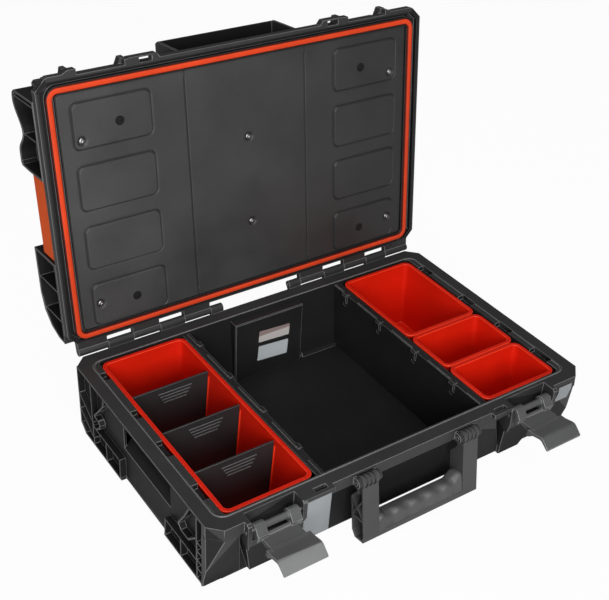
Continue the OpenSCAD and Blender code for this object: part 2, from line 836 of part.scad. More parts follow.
// A thin plate laid on the leaning front wall, with the front view given
module laid_on(points) {
    skin = seat_gap + 1.2;
    z1 = rim_z - rim_band;
    intersection() {
        along_x(-half_w, half_w) polygon([
            [-(half_d - front_lean) - seat_gap, panel_foot], [-half_d - seat_gap, z1],
            [-half_d - seat_gap, rim_z - 8.5], [-half_d - skin, rim_z - 8.5],
            [-half_d - skin, z1], [-(half_d - front_lean) - skin, panel_foot],
        ]);
        along_y(-half_d - 10, 0) polygon(points);
    }
}

// Smooth grey plate on the front wall, between the left latch and the handle
module front_trim_plate() {
    color(light_grey) laid_on([
        [trim_left + trim_skew, panel_foot + 0.5], [trim_right + trim_skew, panel_foot + 0.5],
        [trim_right - 0.5, rim_z - rim_band], [trim_right - 0.5, base_h],
        [trim_left + 0.5, base_h], [trim_left + 0.5, rim_z - rim_band],
    ]);
}

// Short grey plate on the front wall of the right corner
module corner_trim_plate() {
    color(light_grey) laid_on([
        [corner_plate_in + 2, rim_z - corner_plate_h], [corner_plate_out, rim_z - corner_plate_h],
        [corner_plate_out - 4, base_h], [corner_plate_in, base_h],
    ]);
}

// ---- handle ---------------------------------------------------------------

// Places what is drawn about the handle pins, Z up and -Y out
module on_handle() {
    translate([0, -handle_y, handle_z]) rotate([-handle_tilt, 0, 0]) children();
}

// Side view of an arm of the handle
module arm_profile(g) {
    back = arm_d - arm_front - g;
    front = -arm_front + g;
    polygon([
        [front, -6 - g], [front, -handle_len + 3 + g], [front + 3, -handle_len + g],
        [back - 5, -handle_len + g], [back, -handle_len + 9 + g / 2],
        [back, -30 + g], [6 - g, -16 - g], [6 - g, -6 - g],
    ]);
}

// One arm, drawn on the right: its outer side is open and braced
module handle_arm() {
    t = 2.2;
    web = 6;
    back = arm_d - arm_front;
    difference() {
        union() {
            along_x(arm_in, arm_in + arm_w) arm_profile(0);
            pin_along_x(knuckle_h_r, arm_in, arm_in + arm_w);
        }
        difference() {
            along_x(arm_in + web, arm_in + arm_w + 1) arm_profile(3);
            along_x(arm_in, arm_in + arm_w) {
                bar([-arm_front, -24], [back, -56], t);
                bar([back, -30], [-arm_front, -56], t);
                bar([-arm_front, -57], [back, -57], t);
            }
        }
        pin_along_x(handle_pin_r + run_gap, 0, body_w);
        // grooves between the ribs of the knuckle
        for (i = [0:2])
            translate([arm_in + 4.5 + i * 6, 0, 0]) difference() {
                pin_along_x(knuckle_h_r + 3, 0, 3.2);
                pin_along_x(knuckle_h_r - 2.5, -1, 5);
                block([-1, -knuckle_h_r - 4, -30], [6, 20, -7]);
                block([-1, 3, -30], [6, 20, 0]);
            }
    }
}

module handle_frame() {
    foot = -handle_len + grip_rise - 0.2;
    back = arm_d - arm_front;
    color(dark_grey) on_handle() {
        both_sides() handle_arm();
        along_x(-arm_in - eps, arm_in + eps) polygon([
            [-arm_front, foot], [-arm_front, -handle_len + 3], [-arm_front + 3, -handle_len],
            [back - 6, -handle_len], [back - 2, -handle_len + 5], [back - 2, foot],
        ]);
    }
}

// Soft grip between the arms, with a row of shallow finger bumps along its top
module handle_grip() {
    half = arm_in - 0.2;
    foot = -handle_len + grip_rise;
    top = foot + grip_h;
    front = arm_front - 1;
    back = arm_d - arm_front - 3;
    mid = (back - front) / 2;
    thick = (front + back) / 2;
    bump_r = 70;
    bump = half / 2.3;
    rise = 7;
    color(dark_grey) on_handle() intersection() {
        along_x(-half, half) {
            translate([-front, foot]) square([front + back, grip_h - thick + 3]);
            translate([mid, top - thick + 3]) circle(thick);
            translate([mid - 4, foot]) square([8, grip_h + rise]);
        }
        along_y(-arm_d, arm_d) {
            for (i = [-1.5:1:1.5])
                intersection() {
                    translate([i * bump, top - bump_r]) circle(bump_r);
                    translate([-half, foot]) square([2 * half, grip_h + 5]);
                }
            for (s = [-1, 1])
                difference() {
                    translate([s > 0 ? half - rise : -half, foot]) square([rise, grip_h + rise - 2]);
                    translate([s * (half - rise), top + rise - 2]) circle(rise);
                }
        }
    }
}

module handle_pin() {
    pin_along_x(handle_pin_r, arm_in - ear_gap - ear_t, handle_w / 2 + ear_gap + ear_t);
}

module right_handle_pin() {
    color(steel) translate([0, -handle_y, handle_z]) handle_pin();
}

module left_handle_pin() {
    color(steel) mirror([1, 0, 0]) translate([0, -handle_y, handle_z]) handle_pin();
}

// ---- hinges ---------------------------------------------------------------

module hinge_pin() {
    translate([0, hinge_y, hinge_z]) pin_along_x(hinge_pin_r, knuckles[0][0] + 1, hinge_pin_end);
}

module right_hinge_pin() {
    color(steel) hinge_pin();
}

module left_hinge_pin() {
    color(steel) mirror([1, 0, 0]) hinge_pin();
}

// ---- lid, drawn shut and then swung open ----------------------------------

module swung_open() {
    translate([0, hinge_y, hinge_z])
        rotate([-open_angle, 0, 0])
        translate([0, -hinge_y, -hinge_z])
        children();
}

// Outline of the lid rim, with latch notches, hooks and padlock bars
module lid_plan() {
    difference() {
        union() {
            cut_rect(half_w, -lid_front, lid_back, corner_cut - 2);
            for (m = [0, 1])
                mirror([m, 0]) {
                    claw_in = latch_at(m) - hook_notch - claw_side(1 - m);
                    claw_out = latch_at(m) + hook_notch + claw_side(m);
                    bar_in = eye_at(m) - slot_half - 7;
                    // corner lug that ends in a claw beside the latch
                    polygon([
                        [claw_out, -lid_front + 3], [claw_out, -claw_front],
                        [latch_at(m) + claw_clear + 4, -claw_front],
                        [latch_at(m) + claw_clear + 12, -lug_front],
                        [half_w - 17, -lug_front], [half_w, -lug_front + 15],
                        [half_w, -lug_front + 30], [claw_out, -lid_front + 23],
                    ]);
                    // claw on the other side of the latch, and the padlock bar
                    polygon([
                        [claw_in, -lid_front + 3], [claw_in, -claw_front],
                        [latch_at(m) - claw_clear - 4, -claw_front],
                        [latch_at(m) - claw_clear - 7, -slot_front - 2],
                        [bar_in, -slot_front - 2], [bar_in - 5, -lid_front],
                        [bar_in - 5, -lid_front + 3],
                    ]);
                }
        }
        for (m = [0, 1])
            mirror([m, 0]) {
                translate([latch_at(m) - hook_notch - claw_side(1 - m), -half_d - 20])
                    square([2 * hook_notch + claw_side(m) + claw_side(1 - m), 20 + catch_front]);
                translate([eye_at(m) - slot_half, -slot_front])
                    square([2 * slot_half, slot_front - slot_back]);
            }
    }
}

// How far a claw stands off the notch: little on its left side, more on its right
function claw_side(left) = left > 0 ? 2 : 10;

// Backs of the claws, behind the flange: they slope down to the notch and let the paddle in
module claw_backs() {
    root = -lid_wall_front + lid_lean + 1;
    for (m = [0, 1], s = [-1, 1]) {
        mirror([m, 0, 0]) translate([latch_at(m), 0, flange_top - 1])
            linear_extrude(lid_z + claw_t - flange_top + 1) on_half(s) polygon([
                [hook_notch, root], [hook_notch, -lid_front + 14],
                [claw_clear, -claw_front], [claw_clear + 6, -claw_front],
                [claw_clear + 9, -lid_front + 8], [claw_clear + 9, root],
            ]);
    }
}

module on_half(s) {
    mirror([s > 0 ? 0 : 1, 0]) children();
}

// Outer walls of the lid, moved in by g
module lid_body(z0, z1, g) {
    lean = lid_lean / (lid_top - flange_top);
    s0 = lean * (z0 - flange_top) + g;
    s1 = lean * (z1 - flange_top) + g;
    intersection() {
        along_x(-half_w, half_w) polygon([
            [-lid_wall_front + s0, z0], [lid_wall_back - s0, z0],
            [lid_wall_back - s1 + lid_lean / 2, z1 - 30], [lid_wall_back - s1 - 14, z1],
            [-lid_wall_front + s1, z1],
        ]);
        along_y(-half_d, half_d) polygon([
            [-lid_wall_x + s0, z0], [lid_wall_x - s0, z0],
            [lid_wall_x - s1, z1], [-lid_wall_x + s1, z1],
        ]);
        translate([0, 0, z0]) linear_extrude(z1 - z0)
            cut_rect(lid_wall_x - g, -lid_wall_front + g, lid_wall_back - g, corner_cut - 1);
    }
}

// Outline of the rear wing on the side of the lid, in Y and Z
module rear_wing(g) {
    back = lid_back - 1 - g;
    front = recess_half + 5 + g;
    polygon([
        [front, flange_top - 1], [front, lid_top - 2 - g], [back - 50, lid_top - 2 - g],
        [back - 26, lid_top - 9 - g], [back - 9, lid_top - 27 - g],
        [back - 1, lid_top - 50], [back, flange_top - 1],
    ]);
}

// Outline of the front wing, with its hollow back
module front_wing(g) {
    back = -recess_half;
    front = -(lid_front - 28) + g;
    top = lid_top - 1.4 * g;
    polygon([
        [back - g, flange_top - 1], [back - g, top - 24], [back - 1 - g, top - 3],
        [back - 5 - g, top], [back - 18, top], [back - 24, top - 1], [back - 29, top - 4],
        [back - 34, top - 9], [back - 39, top - 14.5], [back - 44, top - 18.5],
        [back - 49, top - 20.5], [back - 54, top - 20], [back - 59, top - 17.5],
        [back - 66, top - 12], [back - 73, top - 6], [back - 79, top - 2], [back - 85, top],
        [front + 8, top - 0.5], [front + 3, top - 3], [front, top - 8], [front, flange_top - 1],
    ]);
}

// The wings of one side: open to the outside, with upright ribs
module lid_wings() {
    inner = lid_wall_x - lid_lean - 1;
    t = 2.2;
    pitch = 44;
    difference() {
        along_x(inner, wing_x) {
            rear_wing(0);
            front_wing(0);
        }
        difference() {
            along_x(lid_wall_x, wing_x + 1) intersection() {
                union() {
                    rear_wing(3);
                    front_wing(3);
                }
                translate([-half_d, flange_top + 1]) square([body_d, lid_h]);
            }
            for (i = [1:2], s = [-1, 1])
                block([inner, s * (recess_half + 4 + i * pitch) - t / 2, lid_z],
                    [wing_x - 2, s * (recess_half + 4 + i * pitch) + t / 2, lid_top]);
        }
    }
}

module lid_knuckles() {
    for (k = knuckles)
        if (k[2])
            along_x(k[0], k[1]) {
                translate([hinge_y, hinge_z]) circle(knuckle_r);
                polygon([
                    [lid_back - 3, lid_z], [hinge_y, lid_z], [hinge_y, hinge_z + knuckle_r],
                    [lid_back - 3, flange_top - 1],
                ]);
            }
}

// Recess in the front of the lid, between two cheeks and under the top
module lid_front_block() {
    reach = lid_front - 3;
    inner = lid_wall_front - lid_lean - 1;
    for (s = [-1, 1])
        along_x(s > 0 ? handle_w / 2 - 4 : -handle_w / 2, s > 0 ? handle_w / 2 : -handle_w / 2 + 4)
            polygon([
                [-inner, flange_top - 1], [-reach, flange_top - 1],
                [-reach, lid_top - 6], [-reach + 4, lid_top], [-inner, lid_top],
            ]);
    along_x(-handle_w / 2, handle_w / 2) polygon([
        [-inner, lid_top - 5], [-reach, lid_top - 6], [-reach + 4, lid_top], [-inner, lid_top],
    ]);
}

module lid_shell() {
    boss_r = 6;
    color(black) swung_open() difference() {
        union() {
            translate([0, 0, lid_z]) linear_extrude(lid_flange_t) lid_plan();
            difference() {
                lid_body(flange_top - 1, lid_top, 0);
                lid_body(flange_top - 2, lid_top - wall, wall);
                // stacking recess in the top
                block([-half_w + 90, -half_d + 75, lid_top - 1.5],
                    [half_w - 90, half_d - 75, lid_top + 1]);
                for (s = [-1, 1])
                    block([s * (half_w - 60) - 12, -half_d + 60, lid_top - 1.5],
                        [s * (half_w - 60) + 12, half_d - 60, lid_top + 1]);
            }
            both_sides() {
                lid_wings();
                lid_knuckles();
            }
            claw_backs();
            lid_front_block();
        }
        // opening for the liner, and the seat of the gasket round it
        translate([0, 0, lid_z - 1]) linear_extrude(lid_flange_t + 2)
            round_rect(liner_x - 4, liner_y - 4, liner_r);
        translate([0, 0, lid_z - 1]) linear_extrude(liner_z + liner_t - lid_z + 1)
            round_rect(liner_x + seat_gap, liner_y + seat_gap, liner_r + seat_gap);
        translate([0, 0, lid_z - 1]) linear_extrude(seat_z - lid_z + 1) difference() {
            round_rect(gasket_x + seat_gap, gasket_y + seat_gap, gasket_r + seat_gap);
            round_rect(gasket_x - gasket_w - seat_gap, gasket_y - gasket_w - seat_gap,
                gasket_r - gasket_w - seat_gap);
        }
        // groove between the gasket and the outer rim
        translate([0, 0, lid_z - 1]) linear_extrude(groove_depth + 1) difference() {
            cut_rect(half_w - outer_rim, -lid_front + outer_rim, gasket_y + seat_gap + 1.2, 11);
            round_rect(gasket_x + seat_gap + 1.2, gasket_y + seat_gap + 1.2, gasket_r + 1.5);
        }
        both_sides()
            translate([0, hinge_y, hinge_z]) pin_along_x(hinge_pin_r + run_gap, 50, hinge_pin_end + 2);
    }
    // bosses for the liner screws
    color(black) swung_open() for (p = screw_places)
        translate([p[0], p[1], liner_z + liner_t]) difference() {
            cylinder(r = boss_r, h = lid_top - wall - liner_z - liner_t + eps);
            translate([0, 0, -1]) cylinder(r = screw_r + run_gap, h = 12);
        }
}

// Panel that closes the lid, with raised pads and two seams
module lid_liner() {
    color(dark_grey) swung_open() difference() {
        union() {
            translate([0, 0, liner_z]) linear_extrude(liner_t)
                round_rect(liner_x, liner_y, liner_r);
            for (s = [-1, 1], i = [-1.5:1:1.5])
                translate([s * pad_x, i * pad_pitch + pad_shift, liner_z - pad_h])
                    linear_extrude(pad_h + eps) round_rect(pad_w / 2, pad_len / 2, 6);
        }
        for (s = [-1, 1])
            block([s * seam_x - 0.6, -liner_y + 8, liner_z - 1],
                [s * seam_x + 0.6, liner_y - 8, liner_z + 0.8]);
        for (p = screw_places)
            translate([p[0], p[1], liner_z - pad_h - 1]) {
                cylinder(r = screw_r + 0.3, h = liner_t + pad_h + 2);
                cylinder(r = screw_head_r + 0.6, h = pad_h + 1.8);
            }
    }
}

module lid_gasket() {
    color(red) swung_open() translate([0, 0, seat_z - gasket_t - 0.1])
        linear_extrude(gasket_t) difference() {
            round_rect(gasket_x, gasket_y, gasket_r);
            round_rect(gasket_x - gasket_w, gasket_y - gasket_w, gasket_r - gasket_w);
        }
}

module liner_screws() {
    color(steel) swung_open() for (p = screw_places)
        translate([p[0], p[1], liner_z + 0.8]) {
            translate([0, 0, -1.6]) cylinder(r = screw_head_r, h = 1.6);
            translate([0, 0, -eps]) cylinder(r = screw_r, h = liner_t + 8);
        }
}

// Red band on one side of the lid, between the wings
module lid_band() {
    inner = lid_wall_x;
    outer = wing_x - 3;
    lean = lid_lean * band_rise / (lid_top - flange_top);
    color(red) swung_open() along_y(-recess_half + 2, recess_half + 3) polygon([
        [inner + seat_gap, flange_top + seat_gap], [outer, flange_top + seat_gap],
        [outer, flange_top + band_rise - 1.5 * band_cut], [outer - band_cut, flange_top + band_rise],
        [inner + seat_gap - lean, flange_top + band_rise],
    ]);
}

module right_lid_band() {
    lid_band();
}

module left_lid_band() {
    mirror([1, 0, 0]) lid_band();
}

// ---- nodes ----------------------------------------------------------------

base_shell();
left_partition();
right_partition();
rear_box();
front_trim_plate();
corner_trim_plate();
long_tray();
double_tray();
rear_small_tray();
front_small_tray();
rear_divider();
middle_divider();
front_divider();
left_latch_lever();
right_latch_lever();
left_latch_pin();
right_latch_pin();
handle_frame();
handle_grip();
left_handle_pin();
right_handle_pin();
left_hinge_pin();
right_hinge_pin();
lid_shell();
lid_liner();
lid_gasket();
liner_screws();
left_lid_band();
right_lid_band();
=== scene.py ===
import json
import math

import bmesh
import bpy
from mathutils import Euler, Matrix, Vector


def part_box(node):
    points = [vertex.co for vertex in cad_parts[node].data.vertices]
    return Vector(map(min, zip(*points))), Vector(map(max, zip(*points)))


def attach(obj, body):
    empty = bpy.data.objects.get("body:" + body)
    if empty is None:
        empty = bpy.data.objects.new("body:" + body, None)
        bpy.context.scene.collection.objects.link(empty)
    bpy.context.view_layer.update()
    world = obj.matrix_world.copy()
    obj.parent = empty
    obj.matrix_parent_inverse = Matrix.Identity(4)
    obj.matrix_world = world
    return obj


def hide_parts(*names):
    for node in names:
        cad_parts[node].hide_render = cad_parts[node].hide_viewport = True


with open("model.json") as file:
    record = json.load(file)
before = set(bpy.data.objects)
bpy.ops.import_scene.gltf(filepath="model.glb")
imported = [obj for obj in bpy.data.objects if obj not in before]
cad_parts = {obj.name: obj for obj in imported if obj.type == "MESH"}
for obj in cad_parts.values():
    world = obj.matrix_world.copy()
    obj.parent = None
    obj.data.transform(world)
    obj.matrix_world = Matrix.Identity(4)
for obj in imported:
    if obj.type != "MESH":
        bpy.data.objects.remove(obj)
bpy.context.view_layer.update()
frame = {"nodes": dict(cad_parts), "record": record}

# ---- Base shell -----------------------------------------------------------------------
# The deep lower half of the case: a tub with a flat rim, ribbed ends and latch housings,
# injection moulded in one shot from black polypropylene. The tool leaves a fine spark-eroded
# grain on the faces. The lighter line along every edge is a painted highlight.

# One millimetre in the metres of the scene
MM = 0.001


def effect_group(name, inputs, outputs):
    """An empty shader effect with its named sockets, and the nodes at its two ends."""
    group = bpy.data.node_groups.new(name, "ShaderNodeTree")
    for label, value in inputs:
        socket = group.interface.new_socket(name=label, in_out="INPUT", socket_type="NodeSocketFloat")
        socket.default_value = value
    for label in outputs:
        group.interface.new_socket(name=label, in_out="OUTPUT", socket_type="NodeSocketFloat")
    return group, group.nodes.new("NodeGroupInput"), group.nodes.new("NodeGroupOutput")


def add_node(tree, kind, feeds=(), **settings):
    """A node with its settings made; feeds gives (input, value or socket) pairs."""
    node = tree.nodes.new(kind)
    for key, value in settings.items():
        setattr(node, key, value)
    for key, value in feeds:
        if isinstance(value, bpy.types.NodeSocket):
            tree.links.new(value, node.inputs[key])
        else:
            node.inputs[key].default_value = value
    return node


def worked_out(tree, operation, *values):
    """The result of a sum on sockets or plain numbers."""
    return add_node(tree, "ShaderNodeMath", enumerate(values), operation=operation).outputs[0]


def blended(tree, share, first, second, mode="MIX"):
    """A colour made of two, by a share; each may be a socket or a plain value."""
    # The node's colour sockets are the sixth and seventh inputs and the second output, counted from 0
    feeds = [(0, share), (6, first), (7, second)]
    return add_node(tree, "ShaderNodeMix", feeds, data_type="RGBA", blend_type=mode).outputs[2]


# Spark-eroded grain: Height is the fine relief, Tone the slow change of shade over a face
grain, ends_in, ends_out = effect_group(
    "spark_grain", [("Cells per metre", 1500.0), ("Patches per metre", 9.0)], ["Height", "Tone"]
)
place = add_node(grain, "ShaderNodeTexCoord").outputs["Object"]
fine = add_node(grain, "ShaderNodeTexNoise", [
    ("Vector", place), ("Scale", ends_in.outputs["Cells per metre"]), ("Detail", 3.0), ("Roughness", 0.6),
])
patches = add_node(grain, "ShaderNodeTexNoise", [
    ("Vector", place), ("Scale", ends_in.outputs["Patches per metre"]), ("Detail", 5.0), ("Roughness", 0.62),
])
spread = add_node(grain, "ShaderNodeMapRange", [
    ("Value", patches.outputs["Fac"]), ("From Min", 0.3), ("From Max", 0.7),
])
grain.links.new(fine.outputs["Fac"], ends_out.inputs["Height"])
grain.links.new(spread.outputs["Result"], ends_out.inputs["Tone"])

# Handling marks: hairline scratches that come in patches
marks, ends_in, ends_out = effect_group(
    "handling_marks", [("Lines per metre", 160.0), ("Amount", 0.5)], ["Mask"]
)
place = add_node(marks, "ShaderNodeTexCoord").outputs["Object"]
stretch = add_node(marks, "ShaderNodeMapping", [
    ("Vector", place), ("Rotation", (0.35, 0.2, 0.9)), ("Scale", (1.0, 0.06, 0.4)),
])
lines = add_node(marks, "ShaderNodeTexNoise", [
    ("Vector", stretch.outputs["Vector"]), ("Scale", ends_in.outputs["Lines per metre"]), ("Detail", 2.0),
])
hairline = 0.015
thin = add_node(marks, "ShaderNodeValToRGB", [("Fac", lines.outputs["Fac"])])
thin.color_ramp.elements[0].position = 0.5 - hairline
thin.color_ramp.elements[0].color = (0, 0, 0, 1)
thin.color_ramp.elements[1].position = 0.5 + hairline
thin.color_ramp.elements[1].color = (0, 0, 0, 1)
thin.color_ramp.elements.new(0.5).color = (1, 1, 1, 1)
where = add_node(marks, "ShaderNodeTexNoise", [("Vector", place), ("Scale", 14.0), ("Detail", 2.0)])
worn = add_node(marks, "ShaderNodeMapRange", [
    ("Value", where.outputs["Fac"]), ("From Min", 0.48), ("From Max", 0.66),
])
scratched = worked_out(marks, "MULTIPLY", thin.outputs["Color"], worn.outputs["Result"])
scaled = worked_out(marks, "MULTIPLY", scratched, ends_in.outputs["Amount"])
marks.links.new(scaled, ends_out.inputs["Mask"])


def tinted(colour, factor):
    """The colour made darker or lighter by a factor, with a full alpha."""
    return tuple(min(1.0, c * factor) for c in colour) + (1.0,)


def new_finish(name):
    """A fresh material, its node tree and the Principled shader in it."""
    material = bpy.data.materials.new(name)
    material.use_nodes = True
    tree = material.node_tree
    return material, tree, tree.nodes["Principled BSDF"]


def moulded_plastic(name, colour, roughness, cells=1500.0, relief=0.05, scratches=0.1, variation=0.14,
                    specular=0.5, scuff=(0.16, 0.16, 0.16)):
    """Moulded plastic with its grain, its change of shade and its handling marks; relief is in mm."""
    material, tree, shader = new_finish(name)
    skin = add_node(tree, "ShaderNodeGroup", node_tree=bpy.data.node_groups["spark_grain"])
    skin.inputs["Cells per metre"].default_value = cells
    wear = add_node(tree, "ShaderNodeGroup", node_tree=bpy.data.node_groups["handling_marks"])
    wear.inputs["Amount"].default_value = scratches
    shade = blended(tree, skin.outputs["Tone"], tinted(colour, 1 - variation), tinted(colour, 1 + variation))
    marked = blended(tree, wear.outputs["Mask"], shade, tinted(scuff, 1))
    tree.links.new(marked, shader.inputs["Base Color"])
    rough = add_node(tree, "ShaderNodeMapRange", [
        ("Value", skin.outputs["Tone"]), ("To Min", roughness - 0.06), ("To Max", roughness + 0.07),
    ])
    tree.links.new(rough.outputs["Result"], shader.inputs["Roughness"])
    bump = add_node(tree, "ShaderNodeBump", [
        ("Strength", 1.0), ("Distance", relief * MM), ("Height", skin.outputs["Height"]),
    ])
    tree.links.new(bump.outputs["Normal"], shader.inputs["Normal"])
    shader.inputs["Specular IOR Level"].default_value = specular
    return material


def dress(node, face, edge, width):
    """Gives a carried-over piece its finish, with softened edges in a lighter colour: a painted highlight
    along them.
    """
    piece = frame["nodes"][node]
    piece.data.materials.clear()
    piece.data.materials.append(face)
    piece.data.materials.append(edge)
    for polygon in piece.data.polygons:
        polygon.use_smooth = True
        polygon.material_index = 0
    weld = piece.modifiers.new("joined_faces", "WELD")
    weld.merge_threshold = 0.01 * MM
    round_off = piece.modifiers.new("soft_edges", "BEVEL")
    round_off.width = width
    round_off.segments = 2
    round_off.limit_method = "ANGLE"
    round_off.angle_limit = math.radians(32)
    round_off.use_clamp_overlap = False
    # The bevels take the second, lighter colour: a painted highlight along the edges
    round_off.material = 1
    round_off.miter_outer = "MITER_ARC"
    shade = piece.modifiers.new("even_shading", "WEIGHTED_NORMAL")
    shade.keep_sharp = False
    shade.weight = 80
    return piece


case_black = moulded_plastic("case_black", (0.029, 0.029, 0.0295), 0.48)
# A lighter copy of the case black for the bevels: a painted highlight along the edges
case_edge_highlight = moulded_plastic("case_edge_highlight", (0.15, 0.15, 0.152), 0.4, scratches=0.05)
hollow_shade_black = moulded_plastic("hollow_shade_black", (0.01, 0.01, 0.0105), 0.6, cells=1100.0, scratches=0.05,
                             specular=0.3)
base = dress("base_shell", case_black, case_edge_highlight, 0.6 * MM)

# Painted shade: the inside of the tub and the hollows of its sides are given a deeper black
# than the outside, for the shade that falls in them
shell_low, shell_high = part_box("base_shell")
rim_underside = shell_high.z - 16 * MM
# The sides lean out between these two bands of height, at the foot and under the rim
foot_band = 12 * MM
rim_band = 14 * MM
# The tub begins this far inside the box of the shell
tub_side = 22 * MM
tub_front = 20 * MM
tub_rear = 14 * MM
tub_floor = 2 * MM
# The hollows of a side lie between its skin and the wall of the tub
side_depth = 40 * MM
side_skin = 1.5 * MM
side_half = 176 * MM
side_sill = 4 * MM


def side_reach(low_z, high_z):
    """How far the sides of the base reach out between two heights."""
    return max(abs(v.co.x) for v in base.data.vertices if low_z <= v.co.z <= high_z)


foot_reach = side_reach(0.0, foot_band)
top_reach = side_reach(rim_underside - rim_band, rim_underside)


def inside_tub(spot):
    """Whether a spot lies inside the tub, below its rim."""
    within_x = abs(spot.x) < shell_high.x - tub_side
    within_y = shell_low.y + tub_front < spot.y < shell_high.y - tub_rear
    return within_x and within_y and shell_low.z + tub_floor < spot.z < rim_underside


def hollow_of_side(spot):
    """Whether a spot lies behind the leaning outer faces of a side."""
    outer = foot_reach + (top_reach - foot_reach) * spot.z / rim_underside
    beside = shell_high.x - side_depth < abs(spot.x) < outer - side_skin
    return beside and abs(spot.y) < side_half and side_sill < spot.z < rim_underside + side_sill


def shade_part(piece, material, is_inside):
    """Gives another finish to the faces of a piece whose middle is_inside picks out."""
    piece.data.materials.append(material)
    for polygon in piece.data.polygons:
        if is_inside(polygon.center):
            polygon.material_index = 2


shade_part(base, hollow_shade_black, lambda spot: inside_tub(spot) or hollow_of_side(spot))

# ---- Partitions and rear box ----------------------------------------------------------
# Two upright plates split the tub into the open middle and the two tray bays; each has a
# ledge and spring clips along its top. A shallow closed box is welded to the rear wall.
# All three are black polypropylene like the base; their deeper black is painted shade, for the shade inside
# the tub.

inner_shade_black = moulded_plastic("inner_shade_black", (0.014, 0.014, 0.0145), 0.42, cells=1100.0, scratches=0.05)
for node in ("left_partition", "right_partition", "rear_box"):
    dress(node, inner_shade_black, case_edge_highlight, 0.4 * MM)

# ---- Labels ---------------------------------------------------------------------------
# Two bare paper stickers on the front of the rear box, laid on by hand a little askew.
# The upper has a printed band in grey, and the lower is plain; both have rounded corners.

label_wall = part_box("rear_box")[0].y
sticker_skin = 0.12 * MM
sticker_sink = 0.02 * MM
sticker_corner = 1.2 * MM
# Share of a label's height at which its printed band begins
band_from = 0.62


def rounded_outline(half_width, half_height, radius, steps=6):
    """Points of a rounded rectangle about the origin, corner by corner."""
    corners = ((1, 1, 0), (-1, 1, 90), (-1, -1, 180), (1, -1, 270))
    points = []
    for sx, sy, start in corners:
        for i in range(steps + 1):
            turn = math.radians(start + 90 * i / steps)
            points.append((
                sx * (half_width - radius) + radius * math.cos(turn),
                sy * (half_height - radius) + radius * math.sin(turn),
            ))
    return points


def join_rings(bm, first, second):
    """The band of four-sided faces between two rings of as many points."""
    faces = []
    for i in range(len(first)):
        j = (i + 1) % len(first)
        faces.append(bm.faces.new((first[i], first[j], second[j], second[i])))
    return faces


def new_piece(name, mesh_maker, material, body, smooth=False, closed=True):
    """Turns a filled bmesh into a piece that rides on a body; an open sheet keeps its faces as drawn."""
    mesh = bpy.data.meshes.new(name)
    bm = bmesh.new()
    mesh_maker(bm)
    if closed:
        bmesh.ops.recalc_face_normals(bm, faces=bm.faces)
    bm.to_mesh(mesh)
    bm.free()
    piece = bpy.data.objects.new(name, mesh)
    bpy.context.scene.collection.objects.link(piece)
    mesh.materials.append(material)
    for polygon in mesh.polygons:
        polygon.use_smooth = smooth
    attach(piece, body)
    return piece


def paper(name, colour, band):
    """Coated paper; band is the colour of the strip printed along its top."""
    material, tree, shader = new_finish(name)
    place = add_node(tree, "ShaderNodeTexCoord").outputs["Generated"]
    axes = add_node(tree, "ShaderNodeSeparateXYZ", [("Vector", place)])
    strip = worked_out(tree, "GREATER_THAN", axes.outputs["Z"], band_from)
    fibre = add_node(tree, "ShaderNodeTexNoise", [("Vector", place), ("Scale", 60.0), ("Detail", 4.0)])
    sheet = blended(tree, fibre.outputs["Fac"], tinted(colour, 0.9), tinted(colour, 1.05))
    tree.links.new(blended(tree, strip, sheet, tinted(band, 1)), shader.inputs["Base Color"])
    shader.inputs["Roughness"].default_value = 0.45
    return material


def sticker(name, centre, size, tilt, material):
    """A thin sheet with rounded corners, flat on the front of the rear box."""

    def fill(bm):
        turned = [
            (
                centre[0] + x * math.cos(tilt) - z * math.sin(tilt),
                centre[1] + x * math.sin(tilt) + z * math.cos(tilt),
            )
            for x, z in rounded_outline(size[0] / 2, size[1] / 2, sticker_corner)
        ]
        front = [bm.verts.new((x, label_wall - sticker_skin, z)) for x, z in turned]
        back = [bm.verts.new((x, label_wall + sticker_sink, z)) for x, z in turned]
        bm.faces.new(front)
        bm.faces.new(back[::-1])
        join_rings(bm, front, back)

    return new_piece(name, fill, material, "base")


upper_paper = paper("label_banded", (0.62, 0.58, 0.56), (0.33, 0.25, 0.24))
lower_paper = paper("label_plain", (0.6, 0.64, 0.66), (0.56, 0.6, 0.62))
sticker("upper_label", (8 * MM, 69 * MM), (52 * MM, 19 * MM), -0.06, upper_paper)
sticker("lower_label", (6.5 * MM, 39.5 * MM), (51 * MM, 25 * MM), -0.075, lower_paper)

# ---- Trim plates ----------------------------------------------------------------------
# Smooth light grey plates, clipped to the front wall beside the left latch and to the
# corner post at the right. They are moulded in a satin ABS.

plate_grey = moulded_plastic("plate_grey", (0.29, 0.31, 0.325), 0.4, cells=900.0, relief=0.015,
                             scratches=0.06)
# A lighter grey for the bevels of the plates: a painted highlight along their edges
plate_edge_highlight = moulded_plastic("plate_edge_highlight", (0.42, 0.44, 0.45), 0.35, relief=0.01)
for node in ("front_trim_plate", "corner_trim_plate"):
    dress(node, plate_grey, plate_edge_highlight, 0.25 * MM)

# ---- Trays and dividers ---------------------------------------------------------------
# Four lift-out trays moulded in bright red-orange polypropylene, with leaning walls, a
# rolled lip and guide ribs. Three black plates slide down between the guides of the long one.

tray_red = moulded_plastic("tray_red", (0.74, 0.014, 0.003), 0.38, cells=1300.0, relief=0.02,
                           scratches=0.05, variation=0.08, specular=0.3, scuff=(0.8, 0.12, 0.06))
